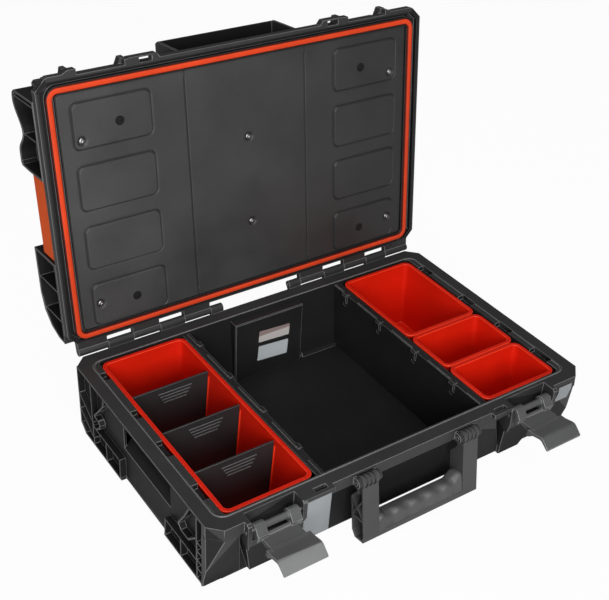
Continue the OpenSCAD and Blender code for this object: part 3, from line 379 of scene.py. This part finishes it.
# A brighter red for the bevels of the trays and lid bands: a painted highlight along their edges
tray_edge_highlight = moulded_plastic("tray_edge_highlight", (0.95, 0.05, 0.014), 0.34, relief=0.01, scratches=0.05,
                           variation=0.06, specular=0.4)
for node in ("long_tray", "double_tray", "rear_small_tray", "front_small_tray"):
    dress(node, tray_red, tray_edge_highlight, 0.8 * MM)
divider_black = moulded_plastic("divider_black", (0.022, 0.023, 0.024), 0.5, relief=0.04, scratches=0.05,
                                specular=0.35)
for node in ("rear_divider", "middle_divider", "front_divider"):
    dress(node, divider_black, case_edge_highlight, 0.3 * MM)

# ---- Latches --------------------------------------------------------------------------
# Each latch is a dark grey nylon lever that turns on a steel pin between two cheeks. Its
# ears, cross bar and bent finger paddle are one moulding with a smooth satin skin.

lever_grey = moulded_plastic("lever_grey", (0.1, 0.101, 0.102), 0.34, cells=1200.0, relief=0.025,
                             variation=0.12)
# A lighter grey for the bevels of the levers: a painted highlight along their edges
lever_edge_highlight = moulded_plastic("lever_edge_highlight", (0.2, 0.2, 0.202), 0.32, relief=0.01, scratches=0.05)
for node in ("left_latch_lever", "right_latch_lever"):
    dress(node, lever_grey, lever_edge_highlight, 0.7 * MM)

# Painted highlight: the end of the left paddle is given a lighter grey, for the light that falls on it
paddle_highlight_grey = moulded_plastic("paddle_highlight_grey", (0.22, 0.222, 0.223), 0.3, cells=1200.0, relief=0.02,
                             variation=0.12)
paddle_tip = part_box("left_latch_lever")[0].y
highlight_length = 15 * MM
shade_part(frame["nodes"]["left_latch_lever"], paddle_highlight_grey, lambda spot: spot.y < paddle_tip + highlight_length)

# ---- Pins -----------------------------------------------------------------------------
# Plain steel pins, turned to size and pressed in: one through each latch lever, one at each
# handle arm and one in each half of the lid's hinge.


def turned_metal(name, colour, roughness):
    """Turned steel: fine rings round the axis, with a slightly uneven polish."""
    material, tree, shader = new_finish(name)
    place = add_node(tree, "ShaderNodeTexCoord").outputs["Object"]
    rings = add_node(tree, "ShaderNodeTexWave", [("Vector", place), ("Scale", 1400.0), ("Distortion", 1.5)])
    cloud = add_node(tree, "ShaderNodeTexNoise", [("Vector", place), ("Scale", 220.0), ("Detail", 3.0)])
    shade = blended(tree, cloud.outputs["Fac"], tinted(colour, 0.8), tinted(colour, 1.1))
    tree.links.new(shade, shader.inputs["Base Color"])
    rough = add_node(tree, "ShaderNodeMapRange", [
        ("Value", cloud.outputs["Fac"]), ("To Min", roughness - 0.08), ("To Max", roughness + 0.1),
    ])
    tree.links.new(rough.outputs["Result"], shader.inputs["Roughness"])
    bump = add_node(tree, "ShaderNodeBump", [
        ("Strength", 0.4), ("Distance", 0.01 * MM), ("Height", rings.outputs["Fac"]),
    ])
    tree.links.new(bump.outputs["Normal"], shader.inputs["Normal"])
    shader.inputs["Metallic"].default_value = 1.0
    return material


pin_steel = turned_metal("pin_steel", (0.5, 0.5, 0.51), 0.34)
for side in ("left", "right"):
    for node in (f"{side}_latch_pin", f"{side}_handle_pin", f"{side}_hinge_pin"):
        dress(node, pin_steel, pin_steel, 0.3 * MM)

# ---- Handle frame ---------------------------------------------------------------------
# A swing handle of glass-filled nylon: two braced arms joined by a bar at the foot, with
# ribbed knuckles that turn on the two handle pins.

handle_black = moulded_plastic("handle_black", (0.058, 0.058, 0.06), 0.44, cells=1300.0, relief=0.04)
# A lighter black for the bevels of the handle: a painted highlight along its edges
handle_edge_highlight = moulded_plastic("handle_edge_highlight", (0.13, 0.13, 0.132), 0.4, scratches=0.05)
handle = dress("handle_frame", handle_black, handle_edge_highlight, 0.6 * MM)
handle.modifiers["soft_edges"].miter_outer = "MITER_SHARP"
handle.modifiers["soft_edges"].use_clamp_overlap = True

# ---- Handle grip ----------------------------------------------------------------------
# A sleeve of softer rubber moulded over the bar of the handle, flat below and rounded above.
# Fingers fit between the bumps along its front, and it swells to a collar at the left end
# and a hump at the right.

joint_places = {j["name"]: j for j in frame["record"]["behaviour"]["joints"]}
handle_pivot = Vector(joint_places["handle_swing"]["pos_m"])
handle_tilt = math.radians(9)
hanging = Matrix.Translation(handle_pivot) @ Matrix.Rotation(-handle_tilt, 4, "X")
grip_corners = [hanging.inverted() @ v.co for v in frame["nodes"]["handle_grip"].data.vertices]
grip_half = max(c.x for c in grip_corners)
grip_front = min(c.y for c in grip_corners)
grip_back = max(c.y for c in grip_corners)
sleeve_drop = 0.8 * MM
grip_ridge = max(c.z for c in grip_corners if abs(c.x) < grip_half / 3) - sleeve_drop
grip_foot = min(c.z for c in grip_corners) - sleeve_drop
sections = 150
around = 48
# The section is nearly square below and rounded above, and fuller at the front
side_gap = 0.6 * MM
front_bulge = 1.6 * MM
bulge_from = 0.6
bulge_full = -0.8
round_top = 0.55
square_foot = 0.14
# Collar at the left end, with a nick beside it, and hump at the right end
collar_end = -57 * MM
collar_step = 1.2 * MM
collar_rise = 1.3 * MM
collar_swell = 0.5 * MM
nick_place = collar_end + 3 * MM
nick_width = 2 * MM
nick_depth = 1.2 * MM
hump_from = grip_half - 19 * MM
hump_to = grip_half - 5 * MM
hump_rise = 8.5 * MM
# Middles of the finger bumps, and the scoops between them, which go back and down
finger_bumps = [x * MM for x in (-58, -33, -7, 18.5, 43.5, 66)]
bump_reach = 12.5 * MM
scoop_depth = 3.8 * MM
scoop_turn = 2.45
scoop_back = 0.75
scoop_down = 0.65


def smooth(low, high, value):
    """0 at low, 1 at high and an even S-curve between them."""
    t = max(0.0, min(1.0, (value - low) / (high - low)))
    return t * t * (3 - 2 * t)


def on_collar(x):
    """1 on the collar and 0 past it."""
    return 1 - smooth(collar_end, collar_end + collar_step, x)


def grip_top(x):
    """Height of the sleeve's ridge at x: straight, with the collar, a nick beside it and the hump."""
    ridge = grip_ridge + collar_rise * on_collar(x)
    ridge -= nick_depth * math.exp(-((x - nick_place) / nick_width) ** 2)
    return ridge + hump_rise * smooth(hump_from, hump_to, x)


def between_fingers(x):
    """0 on a finger bump and 1 midway between two of them."""
    nearest = min(abs(x - bump) for bump in finger_bumps)
    return 0.5 - 0.5 * math.cos(math.pi * min(1.0, nearest / bump_reach))


def signed_power(value, power):
    """The value's size raised to a power, with its sign kept."""
    return math.copysign(abs(value) ** power, value)


def fill_grip(bm):
    mid_y = (grip_front + grip_back) / 2
    half_y = (grip_back - grip_front) / 2
    rows = []
    for i in range(sections + 1):
        x = -grip_half + 2 * grip_half * i / sections
        top = grip_top(x)
        middle = (top + grip_foot) / 2
        row = []
        for k in range(around):
            turn = 2 * math.pi * k / around
            c, s = math.cos(turn), math.sin(turn)
            power = round_top if s > 0 else square_foot
            reach_y = half_y - side_gap + collar_swell * on_collar(x)
            if c < 0:
                reach_y += front_bulge * smooth(bulge_from, bulge_full, s)
            y = mid_y + reach_y * signed_power(c, power)
            z = middle + (top - middle) * signed_power(s, power)
            scoop = scoop_depth * between_fingers(x) * max(0.0, math.cos(turn - scoop_turn)) ** 3
            y += scoop_back * scoop
            z -= scoop_down * scoop
            row.append(bm.verts.new(hanging @ Vector((x, y, z))))
        rows.append(row)
    for first, second in zip(rows, rows[1:]):
        join_rings(bm, first, second)
    bm.faces.new(rows[0][::-1])
    bm.faces.new(rows[-1])


grip_soft = moulded_plastic("grip_soft", (0.085, 0.085, 0.087), 0.42, cells=700.0, relief=0.12,
                            scratches=0.05, specular=0.35)
grip = new_piece("soft_grip", fill_grip, grip_soft, "handle", smooth=True)
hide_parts("handle_grip")

# ---- Lid shell ------------------------------------------------------------------------
# The shallow upper half, moulded like the base, with a flanged rim, hinge knuckles, claws
# for the latches, padlock bars and open ribbed wings. It turns on the two hinge pins.

lid_hinge = joint_places["lid_hinge"]
hinge_line = Vector(lid_hinge["pos_m"])
open_angle = math.radians(-lid_hinge["range_deg"][0])
to_hinge = Matrix.Translation(hinge_line)
opened = to_hinge @ Matrix.Rotation(-open_angle, 4, "X") @ to_hinge.inverted()
shut = opened.inverted()


def shut_box(node):
    """Lowest and highest corners of a lid node with the lid shut."""
    points = [shut @ v.co for v in frame["nodes"][node].data.vertices]
    return (
        Vector((min(p.x for p in points), min(p.y for p in points), min(p.z for p in points))),
        Vector((max(p.x for p in points), max(p.y for p in points), max(p.z for p in points))),
    )


# Hollows of the lid, with the lid shut, which are painted with shade: inside the wings, in the
# pocket of the front wall and in the groove between the outer rim and the seal
lid_low, lid_high = shut_box("lid_shell")
gasket_low, gasket_high = shut_box("lid_gasket")
wing_inner = lid_high.x - 20.8 * MM
wing_outer = lid_high.x - 2.1 * MM
wing_low = lid_high.z - 68.9 * MM
wing_high = lid_high.z - 3 * MM
pocket_half = 86 * MM
pocket_front = lid_low.y + 7 * MM
pocket_rear = lid_low.y + 29 * MM
pocket_low = lid_high.z - 67 * MM
rim_half = lid_high.x - 7.2 * MM
rim_front = lid_low.y + 11.7 * MM
rim_rear = gasket_high.y + 2.5 * MM
seal_gap = 0.9 * MM
groove_high = gasket_high.z + 4.8 * MM


def hollow_of_lid(spot):
    """Whether a spot lies in one of the hollows of the lid."""
    place = shut @ spot
    wing = wing_inner < abs(place.x) < wing_outer and wing_low < place.z < wing_high
    pocket = abs(place.x) < pocket_half and pocket_front < place.y < pocket_rear and place.z > pocket_low
    in_rim = abs(place.x) < rim_half and rim_front < place.y < rim_rear
    in_seal = abs(place.x) < gasket_high.x + seal_gap and abs(place.y) < gasket_high.y + seal_gap
    groove = in_rim and not in_seal and place.z < groove_high
    return wing or pocket or groove


# Painted shade: round the seal the lid is given a deep black; its outer rim keeps the lid's own colour
seat_half = lid_high.x - 4.4 * MM
seat_front = lid_low.y + 10.5 * MM
seat_rear = gasket_high.y + 4 * MM
seat_high = gasket_low.z + 3.9 * MM
seat, ends_in, ends_out = effect_group("seal_shade_mask", [], ["Mask"])
place = add_node(seat, "ShaderNodeTexCoord").outputs["Object"]
turned = add_node(seat, "ShaderNodeVectorRotate", [
    ("Vector", place), ("Center", hinge_line), ("Axis", (1.0, 0.0, 0.0)), ("Angle", open_angle),
])
axes = add_node(seat, "ShaderNodeSeparateXYZ", [("Vector", turned.outputs["Vector"])])
across = worked_out(seat, "ABSOLUTE", axes.outputs["X"])
mask = worked_out(seat, "LESS_THAN", across, seat_half)
for operation, axis, limit in (
    ("GREATER_THAN", "Y", seat_front), ("LESS_THAN", "Y", seat_rear), ("LESS_THAN", "Z", seat_high),
):
    within = worked_out(seat, operation, axes.outputs[axis], limit)
    mask = worked_out(seat, "MULTIPLY", mask, within)
seat.links.new(mask, ends_out.inputs["Mask"])


def paint_seal_shade(material, colour):
    """Paints shade round the seal into a lid finish, in the given dark colour."""
    tree = material.node_tree
    skin = tree.nodes["Principled BSDF"].inputs["Base Color"]
    source = skin.links[0].from_socket
    where = add_node(tree, "ShaderNodeGroup", node_tree=bpy.data.node_groups["seal_shade_mask"])
    tree.links.new(blended(tree, where.outputs["Mask"], source, tinted(colour, 1)), skin)
    return material


lid_black = moulded_plastic("lid_black", (0.029, 0.029, 0.0295), 0.48)
# A lighter copy of the lid black for the bevels: a painted highlight along the edges
lid_edge_highlight = moulded_plastic("lid_edge_highlight", (0.15, 0.15, 0.152), 0.4, scratches=0.05)
paint_seal_shade(lid_black, (0.008, 0.008, 0.008))
paint_seal_shade(lid_edge_highlight, (0.02, 0.02, 0.02))
lid = dress("lid_shell", lid_black, lid_edge_highlight, 0.6 * MM)
# Painted shade: the hollows of the lid are given the deeper black
shade_part(lid, hollow_shade_black, hollow_of_lid)

# ---- Lid bands ------------------------------------------------------------------------
# An orange-red band with a bevelled face closes the gap between the two wings of each side.
# It is a moulding of the same polypropylene as the trays, clipped to the lid.

band_red = moulded_plastic("band_red", (0.86, 0.12, 0.025), 0.6, relief=0.03, scratches=0.08,
                           variation=0.08, specular=0.05, scuff=(0.9, 0.2, 0.12))
for node in ("left_lid_band", "right_lid_band"):
    dress(node, band_red, tray_edge_highlight, 0.8 * MM)

# ---- Lid gasket -----------------------------------------------------------------------
# A soft ring of orange-red foam rubber, cast into the channel round the lid. Its face is
# rounded with a fine dull skin, and its flanks are painted dark: painted shade for the channel beside them.

gasket_spread = 2 * MM
gasket_width = 9 * MM
gasket_corner = 16 * MM
gasket_foot = 0.1 * MM
gasket_steps = 12
crown = 0.4 * MM
shoulder = 2.6 * MM
flank = 1.5 * MM


def fill_gasket(bm):
    half_x = gasket_high.x + gasket_spread
    half_y = gasket_high.y + gasket_spread / 2
    profile = [(gasket_foot, gasket_high.z)]
    for i in range(gasket_steps + 1):
        turn = math.pi * i / gasket_steps
        profile.append((
            gasket_width / 2 - (gasket_width / 2 - gasket_foot) * math.cos(turn),
            gasket_low.z + shoulder - (shoulder + crown) * math.sin(turn),
        ))
    profile.append((gasket_width - gasket_foot, gasket_high.z))
    loops = []
    for inset, z in profile:
        outline = rounded_outline(half_x - inset, half_y - inset, gasket_corner - inset, steps=12)
        loops.append([bm.verts.new(opened @ Vector((x, y + gasket_spread / 2, z))) for x, y in outline])
    insets = [inset for inset, z in profile]
    for k, loop in enumerate(loops):
        n = (k + 1) % len(loops)
        middle = (insets[k] + insets[n]) / 2
        for face in join_rings(bm, loop, loops[n]):
            # The faces of the flanks take the second, dark colour: painted shade
            face.material_index = 0 if flank < middle < gasket_width - flank else 1


gasket_red = moulded_plastic("gasket_red", (0.74, 0.062, 0.016), 0.55, cells=900.0, scratches=0.0,
                             specular=0.15)
gasket_flank_shade = moulded_plastic("gasket_flank_shade", (0.16, 0.016, 0.008), 0.6, cells=900.0, scratches=0.0,
                               specular=0.3)
gasket = new_piece("foam_gasket", fill_gasket, gasket_red, "lid", smooth=True)
gasket.data.materials.append(gasket_flank_shade)
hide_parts("lid_gasket")

# ---- Lid liner ------------------------------------------------------------------------
# A thin panel of grey-black polystyrene that closes the lid. It is pressed with eight raised
# pads and two long seams, and dished round each screw.

liner_low, liner_high = shut_box("lid_liner")
liner_edge = 0.2 * MM
liner_corner = 6 * MM
liner_thickness = 2.2 * MM
# Step of the mesh, which is closer beside the edges of the pads and the seams
grid_step = 1.8 * MM
close_reach = 2.4 * MM
close_margin = 0.3 * MM
close_steps = 5
# Two columns of four pads, each with a groove round its foot
pad_rise = 1.8 * MM
panel_face = liner_low.z + pad_rise
pad_half = Vector((52, 28.5)) * MM
pad_radius = 6.5 * MM
pad_slope = 0.6 * MM
pad_spread = Vector((192.5, 81.5)) * MM
pad_shift = 6 * MM
pad_rows = (-1.5, -0.5, 0.5, 1.5)
groove_out = 1.4 * MM
groove_width = 0.9 * MM
groove_depth = 1.2 * MM
# Upright seams at both sides of the middle, and a dish round each screw
seam_x = 91 * MM
seam_depth = 2 * MM
seam_margin = 10 * MM
dish_radius = 6.2 * MM
dish_depth = 2.2 * MM
dish_slope_in = 1.2 * MM
dish_slope_out = 0.4 * MM
groove_shade = 0.7 * MM
seam_shade = 0.8 * MM
screw_places = [Vector(p) * MM for p in ((-236, -98), (-236, 127), (0, -52), (0, 72), (236, -98), (236, 127))]


def pad_edge(x, y):
    """Distance from the edge of the nearest pad: below zero on the pad."""
    row = max(pad_rows[0], min(pad_rows[-1], math.floor((y - pad_shift) / pad_spread.y) + 0.5))
    px = abs(abs(x) - pad_spread.x) - pad_half.x + pad_radius
    py = abs(y - pad_shift - row * pad_spread.y) - pad_half.y + pad_radius
    outside = math.hypot(max(px, 0.0), max(py, 0.0))
    return outside + min(max(px, py), 0.0) - pad_radius


def liner_height(x, y):
    """How far the face stands out of the panel at x, y."""
    edge = pad_edge(x, y)
    rise = pad_rise * (1 - smooth(-pad_slope, pad_slope, edge))
    rise -= groove_depth * math.exp(-((edge - groove_out) / groove_width) ** 2)
    if abs(y) < liner_high.y - seam_margin:
        rise -= seam_depth * math.exp(-((abs(x) - seam_x) / groove_width) ** 2)
    for screw in screw_places:
        away = math.hypot(x - screw.x, y - screw.y)
        rise -= dish_depth * (1 - smooth(dish_radius - dish_slope_in, dish_radius + dish_slope_out, away))
    return rise


def in_shadow(x, y):
    """Whether a spot lies in a groove, a seam or a screw dish, where painted shade goes."""
    if abs(pad_edge(x, y) - groove_out) < groove_shade or abs(abs(x) - seam_x) < seam_shade:
        return True
    return any(math.hypot(x - screw.x, y - screw.y) < dish_radius for screw in screw_places)


def close_places(half, lines):
    """Places from -half to half at the grid's step, with closer ones beside each line."""
    count = round(2 * half / grid_step)
    places = [-half + 2 * half * i / count for i in range(count + 1)]
    for line in lines:
        places = [p for p in places if abs(p - line) > close_reach + close_margin or abs(p) == half]
        closer = [line + close_reach * k / close_steps for k in range(-close_steps, close_steps + 1)]
        places += [p for p in closer if abs(p) < half]
    return sorted(places)


def rounded_in(x, y, half_x, half_y):
    """A grid point drawn in from the square corner of the panel to its round one."""
    px = abs(x) - half_x + liner_corner
    py = abs(y) - half_y + liner_corner
    if px <= 0 or py <= 0:
        return x, y
    pull = max(px, py) / math.hypot(px, py)
    return (
        math.copysign(half_x - liner_corner + px * pull, x),
        math.copysign(half_y - liner_corner + py * pull, y),
    )


def fill_liner(bm):
    half_x = liner_high.x - liner_edge
    half_y = liner_high.y - liner_edge
    upright = [side * pad_spread.x + edge * pad_half.x for side in (-1, 1) for edge in (-1, 1)]
    upright += [-seam_x, seam_x]
    level = [pad_shift + row * pad_spread.y + edge * pad_half.y for row in pad_rows for edge in (-1, 1)]
    xs = close_places(half_x, upright)
    ys = close_places(half_y, level)
    grid = []
    for x in xs:
        line = []
        for y in ys:
            rx, ry = rounded_in(x, y, half_x, half_y)
            line.append(bm.verts.new(opened @ Vector((rx, ry, panel_face - liner_height(rx, ry)))))
        grid.append(line)
    for i in range(len(xs) - 1):
        for j in range(len(ys) - 1):
            face = bm.faces.new((grid[i][j], grid[i][j + 1], grid[i + 1][j + 1], grid[i + 1][j]))
            # Faces in the grooves, seams and dishes take the second, dark colour: painted shade
            if in_shadow((xs[i] + xs[i + 1]) / 2, (ys[j] + ys[j + 1]) / 2):
                face.material_index = 1


def paint_light_falloff(material, low_x, high_x, least):
    """Paints a falloff of light into a material: its colour darkens from full at low_x to least at high_x."""
    tree = material.node_tree
    skin = tree.nodes["Principled BSDF"].inputs["Base Color"]
    source = skin.links[0].from_socket
    place = add_node(tree, "ShaderNodeTexCoord").outputs["Object"]
    axes = add_node(tree, "ShaderNodeSeparateXYZ", [("Vector", place)])
    share = add_node(tree, "ShaderNodeMapRange", [
        ("Value", axes.outputs["X"]), ("From Min", low_x), ("From Max", high_x),
        ("To Min", 1.0), ("To Max", least),
    ])
    tree.links.new(blended(tree, 1.0, source, share.outputs["Result"], "MULTIPLY"), skin)


liner_grey = moulded_plastic("liner_grey", (0.054, 0.0545, 0.0545), 0.48, cells=800.0, relief=0.06,
                             scratches=0.14, variation=0.24)
# Painted light: the liner is lighter at its left end and darker to the right, as if lit from the left
paint_light_falloff(liner_grey, -liner_high.x, liner_high.x, 0.52)
# A near-black for the grooves, seams and screw dishes of the liner: painted shade
liner_painted_shade = moulded_plastic("liner_painted_shade", (0.02, 0.02, 0.02), 0.6, relief=0.03, scratches=0.0)
liner = new_piece("pressed_liner", fill_liner, liner_grey, "lid", smooth=True, closed=False)
liner.data.materials.append(liner_painted_shade)
thick = liner.modifiers.new("panel_thickness", "SOLIDIFY")
thick.thickness = liner_thickness
thick.offset = -1.0
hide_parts("lid_liner")

# ---- Gate marks -----------------------------------------------------------------------
# Four round discs, one on each corner pad of the liner, where hot plastic was fed into the
# tool. They stay darker than the pad, with a low rim and a small stub in the middle.

gate_places = [Vector(p) * MM for p in ((-184, -114), (-184, 131), (184, -114), (184, 131))]
gate_steps = 40
gate_profile = (
    (6.4, -0.3), (6.2, 0.12), (5.4, 0.16), (5.0, 0.05), (1.6, 0.05), (1.2, 0.3), (0.5, 0.35),
)


def lid_ring(bm, centre, reach, steps):
    """A ring of points that face out of the lid; reach gives the radius at each turn."""
    ring = []
    for k in range(steps):
        turn = 2 * math.pi * k / steps
        radius = reach(turn)
        offset = Vector((radius * math.cos(turn), radius * math.sin(turn), 0))
        ring.append(bm.verts.new(opened @ (centre + offset)))
    return ring


def fill_gates(bm):
    for gate in gate_places:
        rings = []
        for radius, height in gate_profile:
            centre = Vector((gate.x, gate.y, panel_face - pad_rise - height * MM))
            rings.append(lid_ring(bm, centre, lambda turn: radius * MM, gate_steps))
        for first, second in zip(rings, rings[1:]):
            join_rings(bm, first, second)
        bm.faces.new(rings[-1])


gate_dark = moulded_plastic("gate_dark", (0.01, 0.01, 0.01), 0.7, relief=0.02, scratches=0.0, specular=0.2)
new_piece("gate_marks", fill_gates, gate_dark, "lid", smooth=True)

# ---- Liner screws ---------------------------------------------------------------------
# Six zinc-plated pan-head screws hold the liner to bosses inside the lid. Each head is a
# turned dome with a punched cross recess.

head_radius = 3.9 * MM
head_height = 2.1 * MM
head_lift = 0.2 * MM
head_steps = 32
head_profile = ((1.0, 0.0), (0.99, 0.4), (0.9, 0.72), (0.66, 0.93), (0.5, 0.98), (0.36, 1.0))
cross_core = 0.1
cross_arm = 0.24
cross_height = 0.8
pit_height = 0.3


def cross_reach(turn):
    """Reach of the cross recess at a turn: four arms round a small core."""
    return head_radius * (cross_core + cross_arm * abs(math.cos(2 * turn)) ** 3)


def fill_screws(bm):
    for screw in screw_places:
        seat = Vector((screw.x, screw.y, panel_face - liner_height(screw.x, screw.y) + head_lift))
        up = Vector((0, 0, -head_height))
        rings = [
            lid_ring(bm, seat + height * up, lambda turn: share * head_radius, head_steps)
            for share, height in head_profile
        ]
        for first, second in zip(rings, rings[1:]):
            join_rings(bm, first, second)
        cross = lid_ring(bm, seat + cross_height * up, cross_reach, head_steps)
        join_rings(bm, rings[-1], cross)
        pit = bm.verts.new(opened @ (seat + pit_height * up))
        for k in range(head_steps):
            bm.faces.new((cross[k], cross[(k + 1) % head_steps], pit))
        bm.faces.new(rings[0][::-1])


screw_zinc = turned_metal("screw_zinc", (0.45, 0.45, 0.46), 0.3)
screws = new_piece("liner_screw_heads", fill_screws, screw_zinc, "lid", smooth=True)
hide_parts("liner_screws")

# ---- Studio floor ---------------------------------------------------------------------
# A pale seamless paper floor, 12 m square and laid just under the feet of the case. It shows
# white and keeps the shadow of the case.

floor_half = 6.0
floor_sink = 0.5 * MM
floor_glow = 0.96
floor_mesh = bpy.data.meshes.new("studio_floor")
floor_corners = [(x * floor_half, y * floor_half, 0) for x, y in ((-1, -1), (1, -1), (1, 1), (-1, 1))]
floor_mesh.from_pydata(floor_corners, [], [(0, 1, 2, 3)])
floor = bpy.data.objects.new("studio_floor", floor_mesh)
bpy.context.scene.collection.objects.link(floor)
floor.location.z = -floor_sink
floor_white, tree, shader = new_finish("floor_white")
shader.inputs["Base Color"].default_value = (0.8, 0.8, 0.8, 1)
shader.inputs["Roughness"].default_value = 0.9
shader.inputs["Specular IOR Level"].default_value = 0.1
glow = add_node(tree, "ShaderNodeEmission", [("Color", (1, 1, 1, 1)), ("Strength", 1.0)])
path = add_node(tree, "ShaderNodeLightPath")
seen = worked_out(tree, "MULTIPLY", path.outputs["Is Camera Ray"], floor_glow)
mixed = add_node(tree, "ShaderNodeMixShader", [(0, seen), (1, shader.outputs[0]), (2, glow.outputs[0])])
tree.links.new(mixed.outputs[0], tree.nodes["Material Output"].inputs["Surface"])
floor_mesh.materials.append(floor_white)

# ---- Studio light ---------------------------------------------------------------------
# A large soft light stands in front and to the left, with weaker ones above and at the left
# side. The room around is dim, and only the camera sees it as white.

world = bpy.data.worlds.new("studio")
bpy.context.scene.world = world
world.use_nodes = True
tree = world.node_tree
dim = tree.nodes["Background"]
dim.inputs["Color"].default_value = (1, 1, 1, 1)
dim.inputs["Strength"].default_value = 0.1
bright = add_node(tree, "ShaderNodeBackground", [("Color", (1, 1, 1, 1)), ("Strength", 1.0)])
path = add_node(tree, "ShaderNodeLightPath")
seen = worked_out(tree, "MAXIMUM", path.outputs["Is Camera Ray"], path.outputs["Is Transmission Ray"])
mixed = add_node(tree, "ShaderNodeMixShader", [(0, seen), (1, dim.outputs[0]), (2, bright.outputs[0])])
tree.links.new(mixed.outputs[0], tree.nodes["World Output"].inputs["Surface"])


def soft_light(name, place, aim, width, height, power):
    """A rectangular lamp at place, turned towards aim, with its power in watts."""
    lamp = bpy.data.lights.new(name, "AREA")
    lamp.shape = "RECTANGLE"
    lamp.size = width
    lamp.size_y = height
    lamp.energy = power
    holder = bpy.data.objects.new(name, lamp)
    bpy.context.scene.collection.objects.link(holder)
    holder.location = place
    holder.rotation_euler = (Vector(aim) - Vector(place)).to_track_quat("-Z", "Y").to_euler()


case_middle = (0.0, 0.05, 0.15)
soft_light("front_softbox", (-0.9, -2.0, 1.1), case_middle, 1.5, 1.2, 45)
soft_light("top_softbox", (-0.2, -0.2, 2.3), case_middle, 1.6, 1.6, 16)
soft_light("left_fill", (-2.3, -0.3, 0.9), case_middle, 1.0, 1.0, 3.5)

# ---- Camera ---------------------------------------------------------------------------
# A standing viewer's place in front of the case and to its left. The lens is a short tele, and
# it looks down through the open lid into the trays.

lens_data = bpy.data.cameras.new("viewer")
lens_data.sensor_width = 36.0
lens_data.lens = 64.81
lens_data.shift_x = 0.0013
lens_data.shift_y = -0.0037
viewer = bpy.data.objects.new("viewer", lens_data)
bpy.context.scene.collection.objects.link(viewer)
viewer.location = (-0.7101, -0.9247, 0.9916)
viewer.rotation_euler = Euler((math.radians(56.323), math.radians(-2.5), math.radians(-33.879)), "XYZ")
bpy.context.scene.camera = viewer
bpy.context.scene.view_settings.view_transform = "Standard"
